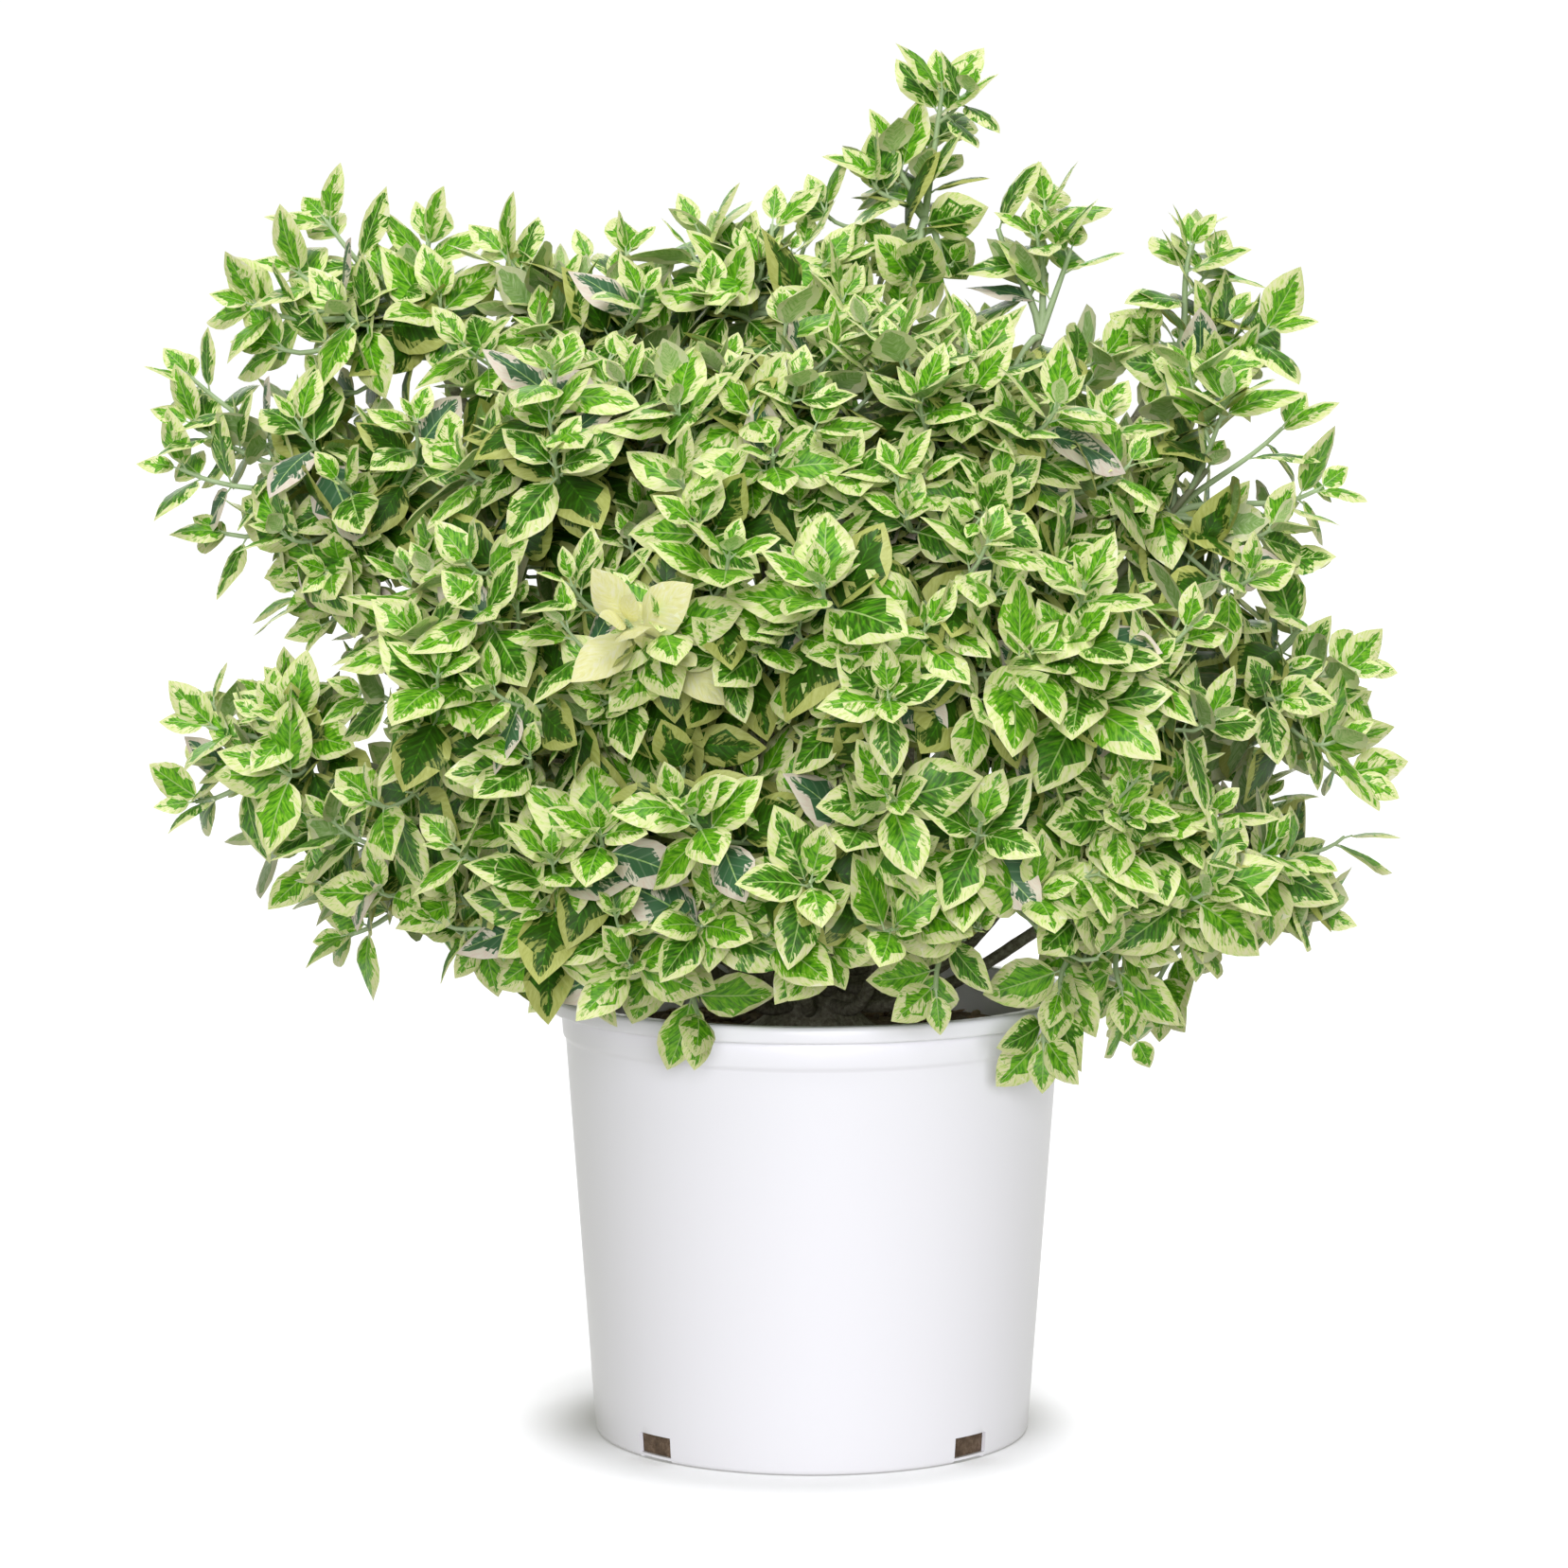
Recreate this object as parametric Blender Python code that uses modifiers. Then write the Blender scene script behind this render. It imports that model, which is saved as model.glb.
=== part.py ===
"""A variegated wintercreeper euonymus growing in a white nursery pot, as named solids in metres.

The origin is the middle of the pot's flat foot, +Z is up, and -Y is the side that is seen from the front.
A short woody stem stands in the potting mix. Boughs spring from it, and each ends where it enters a mass of foliage.
"""

import math
import random

import bmesh
import bpy
from mathutils import Matrix, Vector
from mathutils.bvhtree import BVHTree

# The pot: a turned plastic shell with a turned-out lip, a band under it and a drain hole in each quarter.
POT_HEIGHT = 0.235
RIM_RADIUS = 0.140
WALL_TOP_RADIUS = 0.1308
FOOT_RADIUS = 0.1155
WALL = 0.0024
LIP_HEIGHT = 0.009
LIP_ROUND = 0.0018
BAND_HEIGHT = 0.014
BAND_RADIUS = 0.1334
BAND_TAPER = 0.0012
FLOOR = 0.0022
FOOT_ROUND = 0.0012
DRAIN_HOLES = 4
DRAIN_WIDTH = 0.023
DRAIN_LOW = 0.0028
DRAIN_HIGH = 0.0135
NOTCH_HIGH = 0.0013
POT_SIDES = 36

# Potting mix and the short stem in it.
GAP = 0.0003
SOIL_BELOW_RIM = 0.022
SOIL_TOP = POT_HEIGHT - SOIL_BELOW_RIM
SOIL_SLOPE = 0.004
STEM_HEIGHT = 0.046
STEM_LEAN = Vector((0.002, -0.002, 0.0))
STEM_SIDES = 20
FLARE_LOBES = 5

# The stem's rings: height above its foot, radius, and how far its root lobes swell.
STEM_RINGS = (
    (0.0, 0.0340, 0.16),
    (0.005, 0.0286, 0.10),
    (0.011, 0.0245, 0.0),
    (0.041, 0.0238, 0.0),
    (STEM_HEIGHT, 0.0224, 0.0),
)

# Limbs: a bough tapers from its foot to its tip, and the twigs of a mass go on from there.
BOUGH_FOOT_RADIUS = 0.0036
BOUGH_TIP_RADIUS = 0.0028
BOUGH_POINTS = 3
STRAIGHT_END = 0.014
TOP_RING_RADIUS = 0.0165
STEM_TIP_RADIUS = 0.0025
TWIG_RADIUS = 0.0018
TWIG_TIP_RADIUS = 0.0015
LONG_SHOOT = 0.055

# Leaves, as shares of their length.
LEAF_LENGTH = 0.075
LEAF_WIDTH = 0.64
LEAF_WIDEST = 0.45
LEAF_THICKNESS = 0.035
LEAF_SUNK = 0.006
PAIR_SPACING = 0.034
TIP_BUD = 0.0025
STAGGER = 0.004
LEADER_SPREAD = math.radians(42)
TIP_SPREAD = math.radians(60)
SIDE_SPREAD = math.radians(74)
GUARD = 0.0012
GUARD_START = 0.10
TURNS_TRIED = tuple(math.radians(turn) for turn in (0, 22, -22, 44, -44))
SIZES_TRIED = (1.0, 0.82, 0.66)

# How a mass grows.
SHOOTS = 5
GOLDEN_TURN = math.radians(137.508)
LIFT = 0.35
HEAD_REACH = 0.25
ENTRY_DEPTH = 0.80
WIDEST_ANGLE = math.radians(100)
REACHES_TRIED = (1.12, 1.0, 0.88, 0.76, 0.64)
CLOSEST_ANGLE = math.radians(14)
SPACE_MARGIN = 0.022
TWIG_CLEARANCE = 0.003
LEAF_CLEARANCE = 0.004
POT_CLEARANCE = 0.004
UP = Vector((0, 0, 1))
CROWN_HEART = Vector((0, 0, 0.335))
BOUGH_HEART = Vector((0, 0, 0.270))

# Heights of the boughs' feet on the stem, and the height of the masses that each row serves, lowest row first.
ROWS = ((0.016, 0.355), (0.0265, 0.450), (0.037, 0.545))

# Every mass of foliage: its name, its middle, its radius and the tips of the long shoots that stand out of it.
MASSES = (
    ("front_low_left", (-0.105, -0.160, 0.318), 0.074, ((-0.075, -0.188, 0.262), (-0.140, -0.165, 0.250))),
    ("front_low", (-0.012, -0.182, 0.330), 0.074, ((0.010, -0.225, 0.275),)),
    ("front_low_right", (0.080, -0.162, 0.325), 0.068, ((0.062, -0.190, 0.245),)),
    ("right_low_front", (0.165, -0.112, 0.312), 0.070, ((0.128, -0.150, 0.240), (0.225, -0.120, 0.285))),
    ("left_low_front", (-0.190, -0.085, 0.310), 0.064, ((-0.200, -0.100, 0.235), (-0.262, -0.070, 0.268))),
    ("left_low", (-0.270, -0.010, 0.368), 0.060, ((-0.348, -0.010, 0.336), (-0.345, -0.020, 0.400),
                                                   (-0.280, -0.030, 0.418))),
    ("right_low", (0.240, 0.005, 0.300), 0.064, ((0.288, 0.000, 0.272), (0.192, -0.030, 0.215))),
    ("left_mid_front", (-0.168, -0.132, 0.402), 0.072, ((-0.245, -0.130, 0.410),)),
    ("front_mid_left", (-0.068, -0.185, 0.425), 0.074, ()),
    ("front_mid_right", (0.030, -0.196, 0.425), 0.074, ()),
    ("right_mid_front", (0.125, -0.155, 0.412), 0.072, ((0.160, -0.205, 0.395),)),
    ("right_mid", (0.235, -0.010, 0.405), 0.072, ((0.302, -0.010, 0.412), (0.308, 0.000, 0.347))),
    ("left_high_front", (-0.128, -0.122, 0.505), 0.072, ()),
    ("front_high", (-0.030, -0.150, 0.520), 0.074, ()),
    ("right_high_front", (0.072, -0.140, 0.510), 0.072, ()),
    ("right_high", (0.192, -0.050, 0.498), 0.072, ((0.284, -0.010, 0.512), (0.272, -0.020, 0.470))),
    ("left_high", (-0.240, 0.000, 0.498), 0.070, ((-0.352, 0.000, 0.522), (-0.332, 0.010, 0.484),
                                                   (-0.344, 0.010, 0.574), (-0.292, -0.020, 0.452))),
    ("right_top", (0.200, 0.020, 0.582), 0.062, ((0.206, 0.010, 0.648), (0.258, 0.010, 0.598),
                                                 (0.174, 0.020, 0.622))),
    ("left_top", (-0.215, 0.010, 0.592), 0.060, ((-0.268, 0.010, 0.660), (-0.208, 0.020, 0.652),
                                                 (-0.312, 0.000, 0.610))),
    ("top_leader", (0.060, 0.005, 0.650), 0.052, ((0.071, 0.000, 0.731), (0.040, 0.000, 0.700))),
    ("top_mid", (-0.032, -0.030, 0.602), 0.068, ((-0.066, -0.020, 0.657), (-0.020, -0.010, 0.661))),
    ("top_left", (-0.125, -0.015, 0.590), 0.066, ((-0.172, 0.000, 0.642), (-0.120, 0.000, 0.640))),
    ("top_right", (0.122, -0.020, 0.590), 0.062, ((0.142, -0.010, 0.646), (0.128, -0.040, 0.612))),
    ("back_left", (-0.165, 0.125, 0.370), 0.088, ()),
    ("back_low", (0.000, 0.190, 0.345), 0.088, ()),
    ("back_right", (0.165, 0.125, 0.370), 0.088, ()),
    ("back_high_left", (-0.095, 0.110, 0.510), 0.088, ((-0.110, 0.130, 0.610),)),
    ("back_high_right", (0.090, 0.110, 0.510), 0.088, ((0.080, 0.140, 0.600),)),
)


class Mass:
    """One mass of foliage: the space that it keeps to, and the way that it grows."""

    def __init__(self, name, middle, radius, leaders):
        self.name = name
        self.middle = Vector(middle)
        self.radius = radius
        self.leaders = [Vector(tip) for tip in leaders]
        self.lead = ((self.middle - CROWN_HEART).normalized() + LIFT * UP).normalized()
        self.approach = (self.middle - BOUGH_HEART).normalized()
        self.entry = self.middle - self.approach * (ENTRY_DEPTH * radius)

    def share(self, point):
        """How far out of the middle a point lies, where 1 is the mass's radius."""
        return (point - self.middle).length / self.radius

    def holds(self, points, masses):
        """True if every point lies nearer to this mass than to any other, with a margin."""
        return all(
            self.share(point) + SPACE_MARGIN < min(other.share(point) for other in masses if other is not self)
            for point in points
        )


def bent_line(start, start_way, end, end_way, count):
    """Points of a smooth line that leaves start along start_way and reaches end along end_way."""
    reach = (end - start).length / 3
    corners = (start, start + start_way * reach, end - end_way * reach, end)
    line = []
    for step in range(count):
        t = step / (count - 1)
        weights = ((1 - t) ** 3, 3 * t * (1 - t) ** 2, 3 * t * t * (1 - t), t ** 3)
        line.append(sum((corner * weight for corner, weight in zip(corners, weights)), Vector()))
    return line


def taper(count, first, last):
    """Radii that shrink evenly from first to last."""
    return [first + (last - first) * step / (count - 1) for step in range(count)]


def line_length(line):
    """Length of a line of points."""
    return sum((second - first).length for first, second in zip(line, line[1:]))


def point_along(line, share):
    """(point, direction) at a share of the way along a line of points."""
    place = share * (len(line) - 1)
    step = min(int(place), len(line) - 2)
    way = line[step + 1] - line[step]
    return line[step] + way * (place - step), way.normalized()


def distance_to_line(point, line):
    """Distance from a point to a line of points."""
    nearest = math.inf
    for first, second in zip(line, line[1:]):
        along = second - first
        share = max(0.0, min(1.0, (point - first).dot(along) / along.length_squared))
        nearest = min(nearest, (point - first - along * share).length)
    return nearest


def clear_of_pot(point):
    """True above the rim, outside the lip, or between the wall and the potting mix with room to spare."""
    if point.z > POT_HEIGHT + POT_CLEARANCE:
        return True
    from_axis = math.hypot(point.x, point.y)
    if from_axis > RIM_RADIUS + POT_CLEARANCE:
        return True
    inside = from_axis < WALL_TOP_RADIUS - WALL - POT_CLEARANCE
    return inside and point.z > SOIL_TOP + POT_CLEARANCE


def is_free(mass, points, masses, limbs, clearance):
    """True if the points keep to the mass's space, off the pot and off every other limb."""
    if not all(clear_of_pot(point) for point in points):
        return False
    if not mass.holds(points, masses):
        return False
    least = BOUGH_FOOT_RADIUS + clearance
    return all(distance_to_line(point, limb) > least for limb in limbs for point in points)


def shoot_to(stem, share, tip, spread):
    """A shoot that leaves a stem at a share of its length and turns up so that its last leaves end at the tip."""
    start, stem_way = point_along(stem, share)
    straight = (tip - start).normalized()
    leaving = (straight + stem_way * 0.5).normalized()
    arriving = (straight + UP * 0.25).normalized()
    end = tip - arriving * (LEAF_LENGTH * math.cos(spread))
    points = 3 if (end - start).length > LONG_SHOOT else 2
    return bent_line(start, leaving, end, arriving, points)


def shoots_of(mass, masses, boughs):
    """[(line, spread of its last leaves)]: the mass's stem, its leaders, then side shoots by the golden turn."""

    def fits(line):
        samples = [point_along(line, share / 6)[0] for share in range(2, 7)]
        return is_free(mass, samples, masses, boughs, TWIG_CLEARANCE)

    rng = random.Random(mass.name)
    head = mass.middle + mass.lead * (HEAD_REACH * mass.radius)
    start = mass.entry + mass.approach * GAP
    stem = [start, start + mass.approach * ((head - start).length * 0.45), head]
    sideways = mass.lead.orthogonal().normalized()
    limbs = [(stem, TIP_SPREAD)]
    for tip in mass.leaders:
        limbs.append((shoot_to(stem, 0.6, tip, LEADER_SPREAD), LEADER_SPREAD))
    for number in range(SHOOTS):
        share = (number + 0.5) / SHOOTS
        angle = WIDEST_ANGLE + (CLOSEST_ANGLE - WIDEST_ANGLE) * share
        way = mass.lead * math.cos(angle) + sideways * math.sin(angle)
        way = Matrix.Rotation(number * GOLDEN_TURN + rng.uniform(-0.25, 0.25), 3, mass.lead) @ way
        for reach in REACHES_TRIED:
            line = shoot_to(stem, 0.2 + 0.65 * share, mass.middle + way * (mass.radius * reach), TIP_SPREAD)
            if fits(line):
                limbs.append((line, TIP_SPREAD))
                break
    return limbs


def leaf_axes(way, side, spread, facing):
    """(along, across, up) of one leaf of a pair: it leans out from way towards side, its face to the light."""
    along = (way * math.cos(spread) + side * math.sin(spread)).normalized()
    across = facing.cross(along)
    if across.length < 0.1:
        across = way.cross(along)
    across.normalize()
    return along, across, along.cross(across)


def leaf_samples(root, axes, length):
    """Points over a leaf, close enough together to find what it would touch."""
    along, across, _ = axes
    half_width = LEAF_WIDTH * length / 2
    samples = []
    for share, width in ((0.2, 0.5), (0.45, 1.0), (0.75, 0.55), (1.0, 0.0)):
        spine = root + along * (length * share)
        samples.extend(spine + across * (half_width * width * side) for side in (-1, -0.5, 0, 0.5, 1))
    return samples


def leaf_guard(root, axes, length):
    """A closed shape a little larger than a leaf's outer part, for finding what the leaf would cross."""
    along, across, up = axes
    half_width = LEAF_WIDTH * length / 2 + GUARD
    middle = root + along * (length * LEAF_WIDEST)
    corners = (
        root + along * (length * GUARD_START),
        middle - across * half_width,
        root + along * (length + GUARD),
        middle + across * half_width,
        middle + up * GUARD,
        middle - up * (LEAF_THICKNESS * length + GUARD),
    )
    faces = ((0, 1, 4), (1, 2, 4), (2, 3, 4), (3, 0, 4), (1, 0, 5), (2, 1, 5), (3, 2, 5), (0, 3, 5))
    return BVHTree.FromPolygons(corners, faces)


def limb_guard(limb):
    """Three-sided walls round a shoot, a little wider than it is."""
    corners = []
    faces = []
    for first, second in zip(limb, limb[1:]):
        way = (second - first).normalized()
        side = way.orthogonal().normalized()
        base = len(corners)
        for number in range(3):
            reach = Matrix.Rotation(number * 2 * math.pi / 3, 3, way) @ side * (TWIG_RADIUS + GUARD)
            corners.extend((first + reach, second + reach))
        for number in range(3):
            this = base + 2 * number
            after = base + 2 * ((number + 1) % 3)
            faces.append((this, this + 1, after + 1, after))
    return BVHTree.FromPolygons(corners, faces)


def leaves_of(mass, limbs, masses, boughs):
    """(root, axes, length) of every leaf: pairs that turn by a quarter from one to the next down each shoot."""
    rng = random.Random(mass.name + " leaves")
    walls = [limb_guard(limb) for limb, _ in limbs]
    guards = []
    leaves = []
    for number, (limb, tip_spread) in enumerate(limbs):
        others = walls[:number] + walls[number + 1:]
        turn = rng.uniform(0, math.pi)
        reach = line_length(limb)
        pairs = max(2, round(reach / PAIR_SPACING))
        for pair in range(pairs):
            spread = SIDE_SPREAD if pair else tip_spread
            for half in (0, 1):
                share = max(0.1, 1.0 - pair / pairs - (TIP_BUD + half * STAGGER) / reach)
                root, way = point_along(limb, share)
                facing = (way + UP * 0.5).normalized()
                full = LEAF_LENGTH * rng.uniform(0.92, 1.06)
                tries = [(size, more) for size in SIZES_TRIED for more in TURNS_TRIED]
                for size, more in tries:
                    length = full * size
                    side = Matrix.Rotation(turn + half * math.pi + more, 3, way) @ way.orthogonal().normalized()
                    axes = leaf_axes(way, side, spread, facing)
                    if not is_free(mass, leaf_samples(root, axes, length), masses, boughs, LEAF_CLEARANCE):
                        continue
                    guard = leaf_guard(root, axes, length)
                    if any(guard.overlap(other) for other in others + guards):
                        continue
                    guards.append(guard)
                    leaves.append((root, axes, length))
                    break
            turn += math.pi / 2
    return leaves


def link(obj, collection):
    """Puts an object in a collection and returns it."""
    collection.objects.link(obj)
    return obj


def make_material(name, colour, roughness):
    """A plain material in the part's own colour."""
    material = bpy.data.materials.new(name)
    material.use_nodes = True
    shader = material.node_tree.nodes["Principled BSDF"]
    shader.inputs["Base Color"].default_value = (*colour, 1)
    shader.inputs["Roughness"].default_value = roughness
    return material


def turned(name, profile, collection, material):
    """A solid turned about Z from a profile of (radius, height) points, from the axis outwards and down."""
    mesh = bpy.data.meshes.new(name)
    edges = [(number, number + 1) for number in range(len(profile) - 1)]
    mesh.from_pydata([(radius, 0, height) for radius, height in profile], edges, [])
    mesh.materials.append(material)
    obj = link(bpy.data.objects.new(name, mesh), collection)
    screw = obj.modifiers.new("turn", "SCREW")
    screw.steps = POT_SIDES
    screw.render_steps = POT_SIDES
    screw.use_merge_vertices = True
    screw.merge_threshold = 0.00001
    screw.use_smooth_shade = True
    return obj


def wall_radius(height):
    """Outer radius of the pot's plain wall at a height."""
    band_foot = POT_HEIGHT - LIP_HEIGHT - BAND_HEIGHT
    return FOOT_RADIUS + (WALL_TOP_RADIUS - FOOT_RADIUS) * min(1.0, height / band_foot)


def cutting_box(name, angle, radii, heights, collection):
    """A box across the pot's foot at an angle, from one radius and height to another, for cutting with."""
    bpy.ops.mesh.primitive_cube_add(size=1)
    box = bpy.context.object
    box.name = name
    depth = radii[1] - radii[0]
    height = heights[1] - heights[0]
    outward = Vector((math.sin(angle), -math.cos(angle), 0))
    middle = outward * (sum(radii) / 2) + UP * (sum(heights) / 2)
    size = Matrix.Diagonal((DRAIN_WIDTH, depth, height, 1))
    box.data.transform(Matrix.Translation(middle) @ Matrix.Rotation(angle, 4, "Z") @ size)
    box.hide_render = True
    box.display_type = "WIRE"
    for owner in box.users_collection:
        owner.objects.unlink(box)
    return link(box, collection)


def make_pot(collection, cutters, material):
    """The pot's shell, with a drain hole cut in each quarter and a notch in the foot under each."""
    lip_foot = POT_HEIGHT - LIP_HEIGHT
    band_foot = lip_foot - BAND_HEIGHT
    profile = (
        (0, FLOOR),
        (wall_radius(FLOOR) - WALL, FLOOR),
        (wall_radius(band_foot) - WALL, band_foot),
        (BAND_RADIUS - WALL, lip_foot),
        (BAND_RADIUS - WALL, POT_HEIGHT - LIP_ROUND),
        (BAND_RADIUS - WALL + LIP_ROUND, POT_HEIGHT),
        (RIM_RADIUS - LIP_ROUND, POT_HEIGHT),
        (RIM_RADIUS, POT_HEIGHT - LIP_ROUND),
        (RIM_RADIUS, lip_foot),
        (BAND_RADIUS, lip_foot),
        (BAND_RADIUS - BAND_TAPER, band_foot),
        (WALL_TOP_RADIUS, band_foot - BAND_TAPER),
        (FOOT_RADIUS, FOOT_ROUND),
        (FOOT_RADIUS - FOOT_ROUND, 0),
        (0, 0),
    )
    pot = turned("pot", profile, collection, material)
    for number in range(DRAIN_HOLES):
        angle = math.radians(45 + number * 360 / DRAIN_HOLES)
        hole = cutting_box(f"hole_{number + 1}", angle, (0.104, 0.122), (DRAIN_LOW, DRAIN_HIGH), cutters)
        notch = cutting_box(f"notch_{number + 1}", angle, (0.108, 0.122), (-0.003, NOTCH_HIGH), cutters)
        for cutter in (hole, notch):
            cut = pot.modifiers.new(cutter.name, "BOOLEAN")
            cut.operation = "DIFFERENCE"
            cut.object = cutter


def make_soil(collection, material):
    """The potting mix that fills the pot, a little mounded round the stem."""
    low = FLOOR + GAP
    inset = WALL + GAP
    profile = (
        (0, SOIL_TOP),
        (STEM_RINGS[0][1] * 1.3, SOIL_TOP),
        (wall_radius(SOIL_TOP) - inset, SOIL_TOP - SOIL_SLOPE),
        (wall_radius(low) - inset, low),
        (0, low),
    )
    turned("potting_mix", profile, collection, material)


def stem_middle(height):
    """Middle of the leaning stem at a height above its foot."""
    return STEM_LEAN * (height / STEM_HEIGHT) + UP * (SOIL_TOP + GAP + height)


def stem_radius(height):
    """The stem's radius at a height above its foot, without its lobes."""
    for (low, first, _), (high, second, _) in zip(STEM_RINGS, STEM_RINGS[1:]):
        if height <= high:
            return first + (second - first) * (height - low) / (high - low)
    return STEM_RINGS[-1][1]


def make_stem(collection, material):
    """The short stem: a flared, lobed foot flat on the potting mix, a slight lean and a flat fork."""
    shape = bmesh.new()
    last = None
    for height, radius, lobe in STEM_RINGS:
        middle = stem_middle(height)
        ring = bmesh.ops.create_circle(shape, segments=STEM_SIDES, radius=1.0, cap_ends=last is None)["verts"]
        for vert in ring:
            angle = math.atan2(vert.co.y, vert.co.x)
            swell = 1 + lobe * math.cos(FLARE_LOBES * angle)
            vert.co = middle + Vector((vert.co.x, vert.co.y, 0)) * (radius * swell)
        edges = [edge for edge in shape.edges if edge.verts[0] in ring and edge.verts[1] in ring]
        if last is not None:
            bmesh.ops.bridge_loops(shape, edges=last + edges)
        last = edges
    bmesh.ops.contextual_create(shape, geom=last)
    bmesh.ops.recalc_face_normals(shape, faces=shape.faces)
    mesh = bpy.data.meshes.new("stem")
    shape.to_mesh(mesh)
    shape.free()
    mesh.shade_smooth()
    mesh.set_sharp_from_angle(angle=math.radians(40))
    mesh.materials.append(material)
    link(bpy.data.objects.new("stem", mesh), collection)


def bough_lines(masses):
    """{mass name: its bough's line}: off the stem's side for a low mass, off its flat top for a high one."""
    highest = ROWS[-1][1]
    on_top = sorted(
        (mass for mass in masses if mass.middle.z >= highest),
        key=lambda mass: math.atan2(mass.middle.x, -mass.middle.y) % (2 * math.pi),
    )
    lines = {}
    for mass in masses:
        if mass in on_top:
            angle = 2 * math.pi * on_top.index(mass) / len(on_top)
            outward = Vector((math.sin(angle), -math.cos(angle), 0))
            foot = stem_middle(STEM_HEIGHT) + outward * TOP_RING_RADIUS + UP * GAP
            way = UP
        else:
            height = next(height for height, limit in ROWS if mass.middle.z < limit)
            way = Vector((mass.middle.x, mass.middle.y, 0)).normalized()
            foot = stem_middle(height) + way * (stem_radius(height - BOUGH_FOOT_RADIUS) + GAP)
        turn_out = foot + way * STRAIGHT_END
        turn_in = mass.entry - mass.approach * STRAIGHT_END
        middle = bent_line(turn_out, way, turn_in, mass.approach, BOUGH_POINTS)
        lines[mass.name] = [foot, *middle, mass.entry]
    return lines


def limb_curve(name, line, radii, collection):
    """A limb as a curve object with one straight-edged spline that tapers from its first radius to its last."""
    curve = bpy.data.curves.new(name, "CURVE")
    curve.dimensions = "3D"
    curve.use_fill_caps = True
    spline = curve.splines.new("POLY")
    spline.points.add(len(line) - 1)
    for point, place, radius in zip(spline.points, line, radii):
        point.co = (*place, 1)
        point.radius = radius
    return link(bpy.data.objects.new(name, curve), collection)


def make_bough(mass, line, collection, material):
    """The limb from the stem to a mass."""
    radii = taper(len(line), BOUGH_FOOT_RADIUS, BOUGH_TIP_RADIUS)
    bough = limb_curve(f"bough_{mass.name}", line, radii, collection)
    bough.data.bevel_depth = 1.0
    bough.data.bevel_resolution = 1
    bough.data.materials.append(material)


def leaf_mesh():
    """A leaf one unit long: a flat three-sided cone laid down, its ridge the rib and its two low corners the sides."""
    shape = bmesh.new()
    bmesh.ops.create_cone(shape, cap_ends=True, segments=3, radius1=1.0, radius2=0.0, depth=2.0)
    point, first, second, third = sorted(shape.verts, key=lambda vert: (-vert.co.z, vert.co.x))
    point.co = (1, 0, 0)
    first.co = (-LEAF_SUNK, 0, 0)
    second.co = (LEAF_WIDEST, -LEAF_WIDTH / 2, -LEAF_THICKNESS)
    third.co = (LEAF_WIDEST, LEAF_WIDTH / 2, -LEAF_THICKNESS)
    bmesh.ops.recalc_face_normals(shape, faces=shape.faces)
    mesh = bpy.data.meshes.new("leaf")
    shape.to_mesh(mesh)
    shape.free()
    return mesh


def twig_section(collection):
    """The three-sided section of a twig."""
    curve = bpy.data.curves.new("twig_section", "CURVE")
    curve.dimensions = "2D"
    curve.fill_mode = "NONE"
    spline = curve.splines.new("POLY")
    spline.points.add(2)
    for number, point in enumerate(spline.points):
        angle = number * 2 * math.pi / 3
        point.co = (math.cos(angle), math.sin(angle), 0, 1)
        point.radius = 1.0
    spline.use_cyclic_u = True
    section = link(bpy.data.objects.new("twig_section", curve), collection)
    section.hide_render = True
    section.display_type = "WIRE"
    return section


def twig_solid(name, line, radii, section, collection):
    """A three-sided twig as a closed mesh object."""
    limb = limb_curve(name, line, radii, collection)
    limb.data.bevel_mode = "OBJECT"
    limb.data.bevel_object = section
    graph = bpy.context.evaluated_depsgraph_get()
    mesh = bpy.data.meshes.new_from_object(limb.evaluated_get(graph))
    bpy.data.objects.remove(limb)
    shape = bmesh.new()
    shape.from_mesh(mesh)
    bmesh.ops.remove_doubles(shape, verts=shape.verts, dist=0.00001)
    bmesh.ops.recalc_face_normals(shape, faces=shape.faces)
    shape.to_mesh(mesh)
    shape.free()
    return link(bpy.data.objects.new(name, mesh), collection)


def keep_largest_shell(mesh):
    """Drops the loose scraps that a union can leave and fills any hollow that it sealed."""
    shape = bmesh.new()
    shape.from_mesh(mesh)
    waiting = set(shape.verts)
    shells = []
    while waiting:
        reached = [waiting.pop()]
        shell = set(reached)
        while reached:
            for edge in reached.pop().link_edges:
                for vert in edge.verts:
                    if vert in waiting:
                        waiting.discard(vert)
                        shell.add(vert)
                        reached.append(vert)
        shells.append(shell)
    largest = max(shells, key=len)
    scraps = [vert for vert in shape.verts if vert not in largest]
    bmesh.ops.delete(shape, geom=scraps, context="VERTS")
    bmesh.ops.triangulate(shape, faces=shape.faces)
    shape.to_mesh(mesh)
    shape.free()


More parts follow.
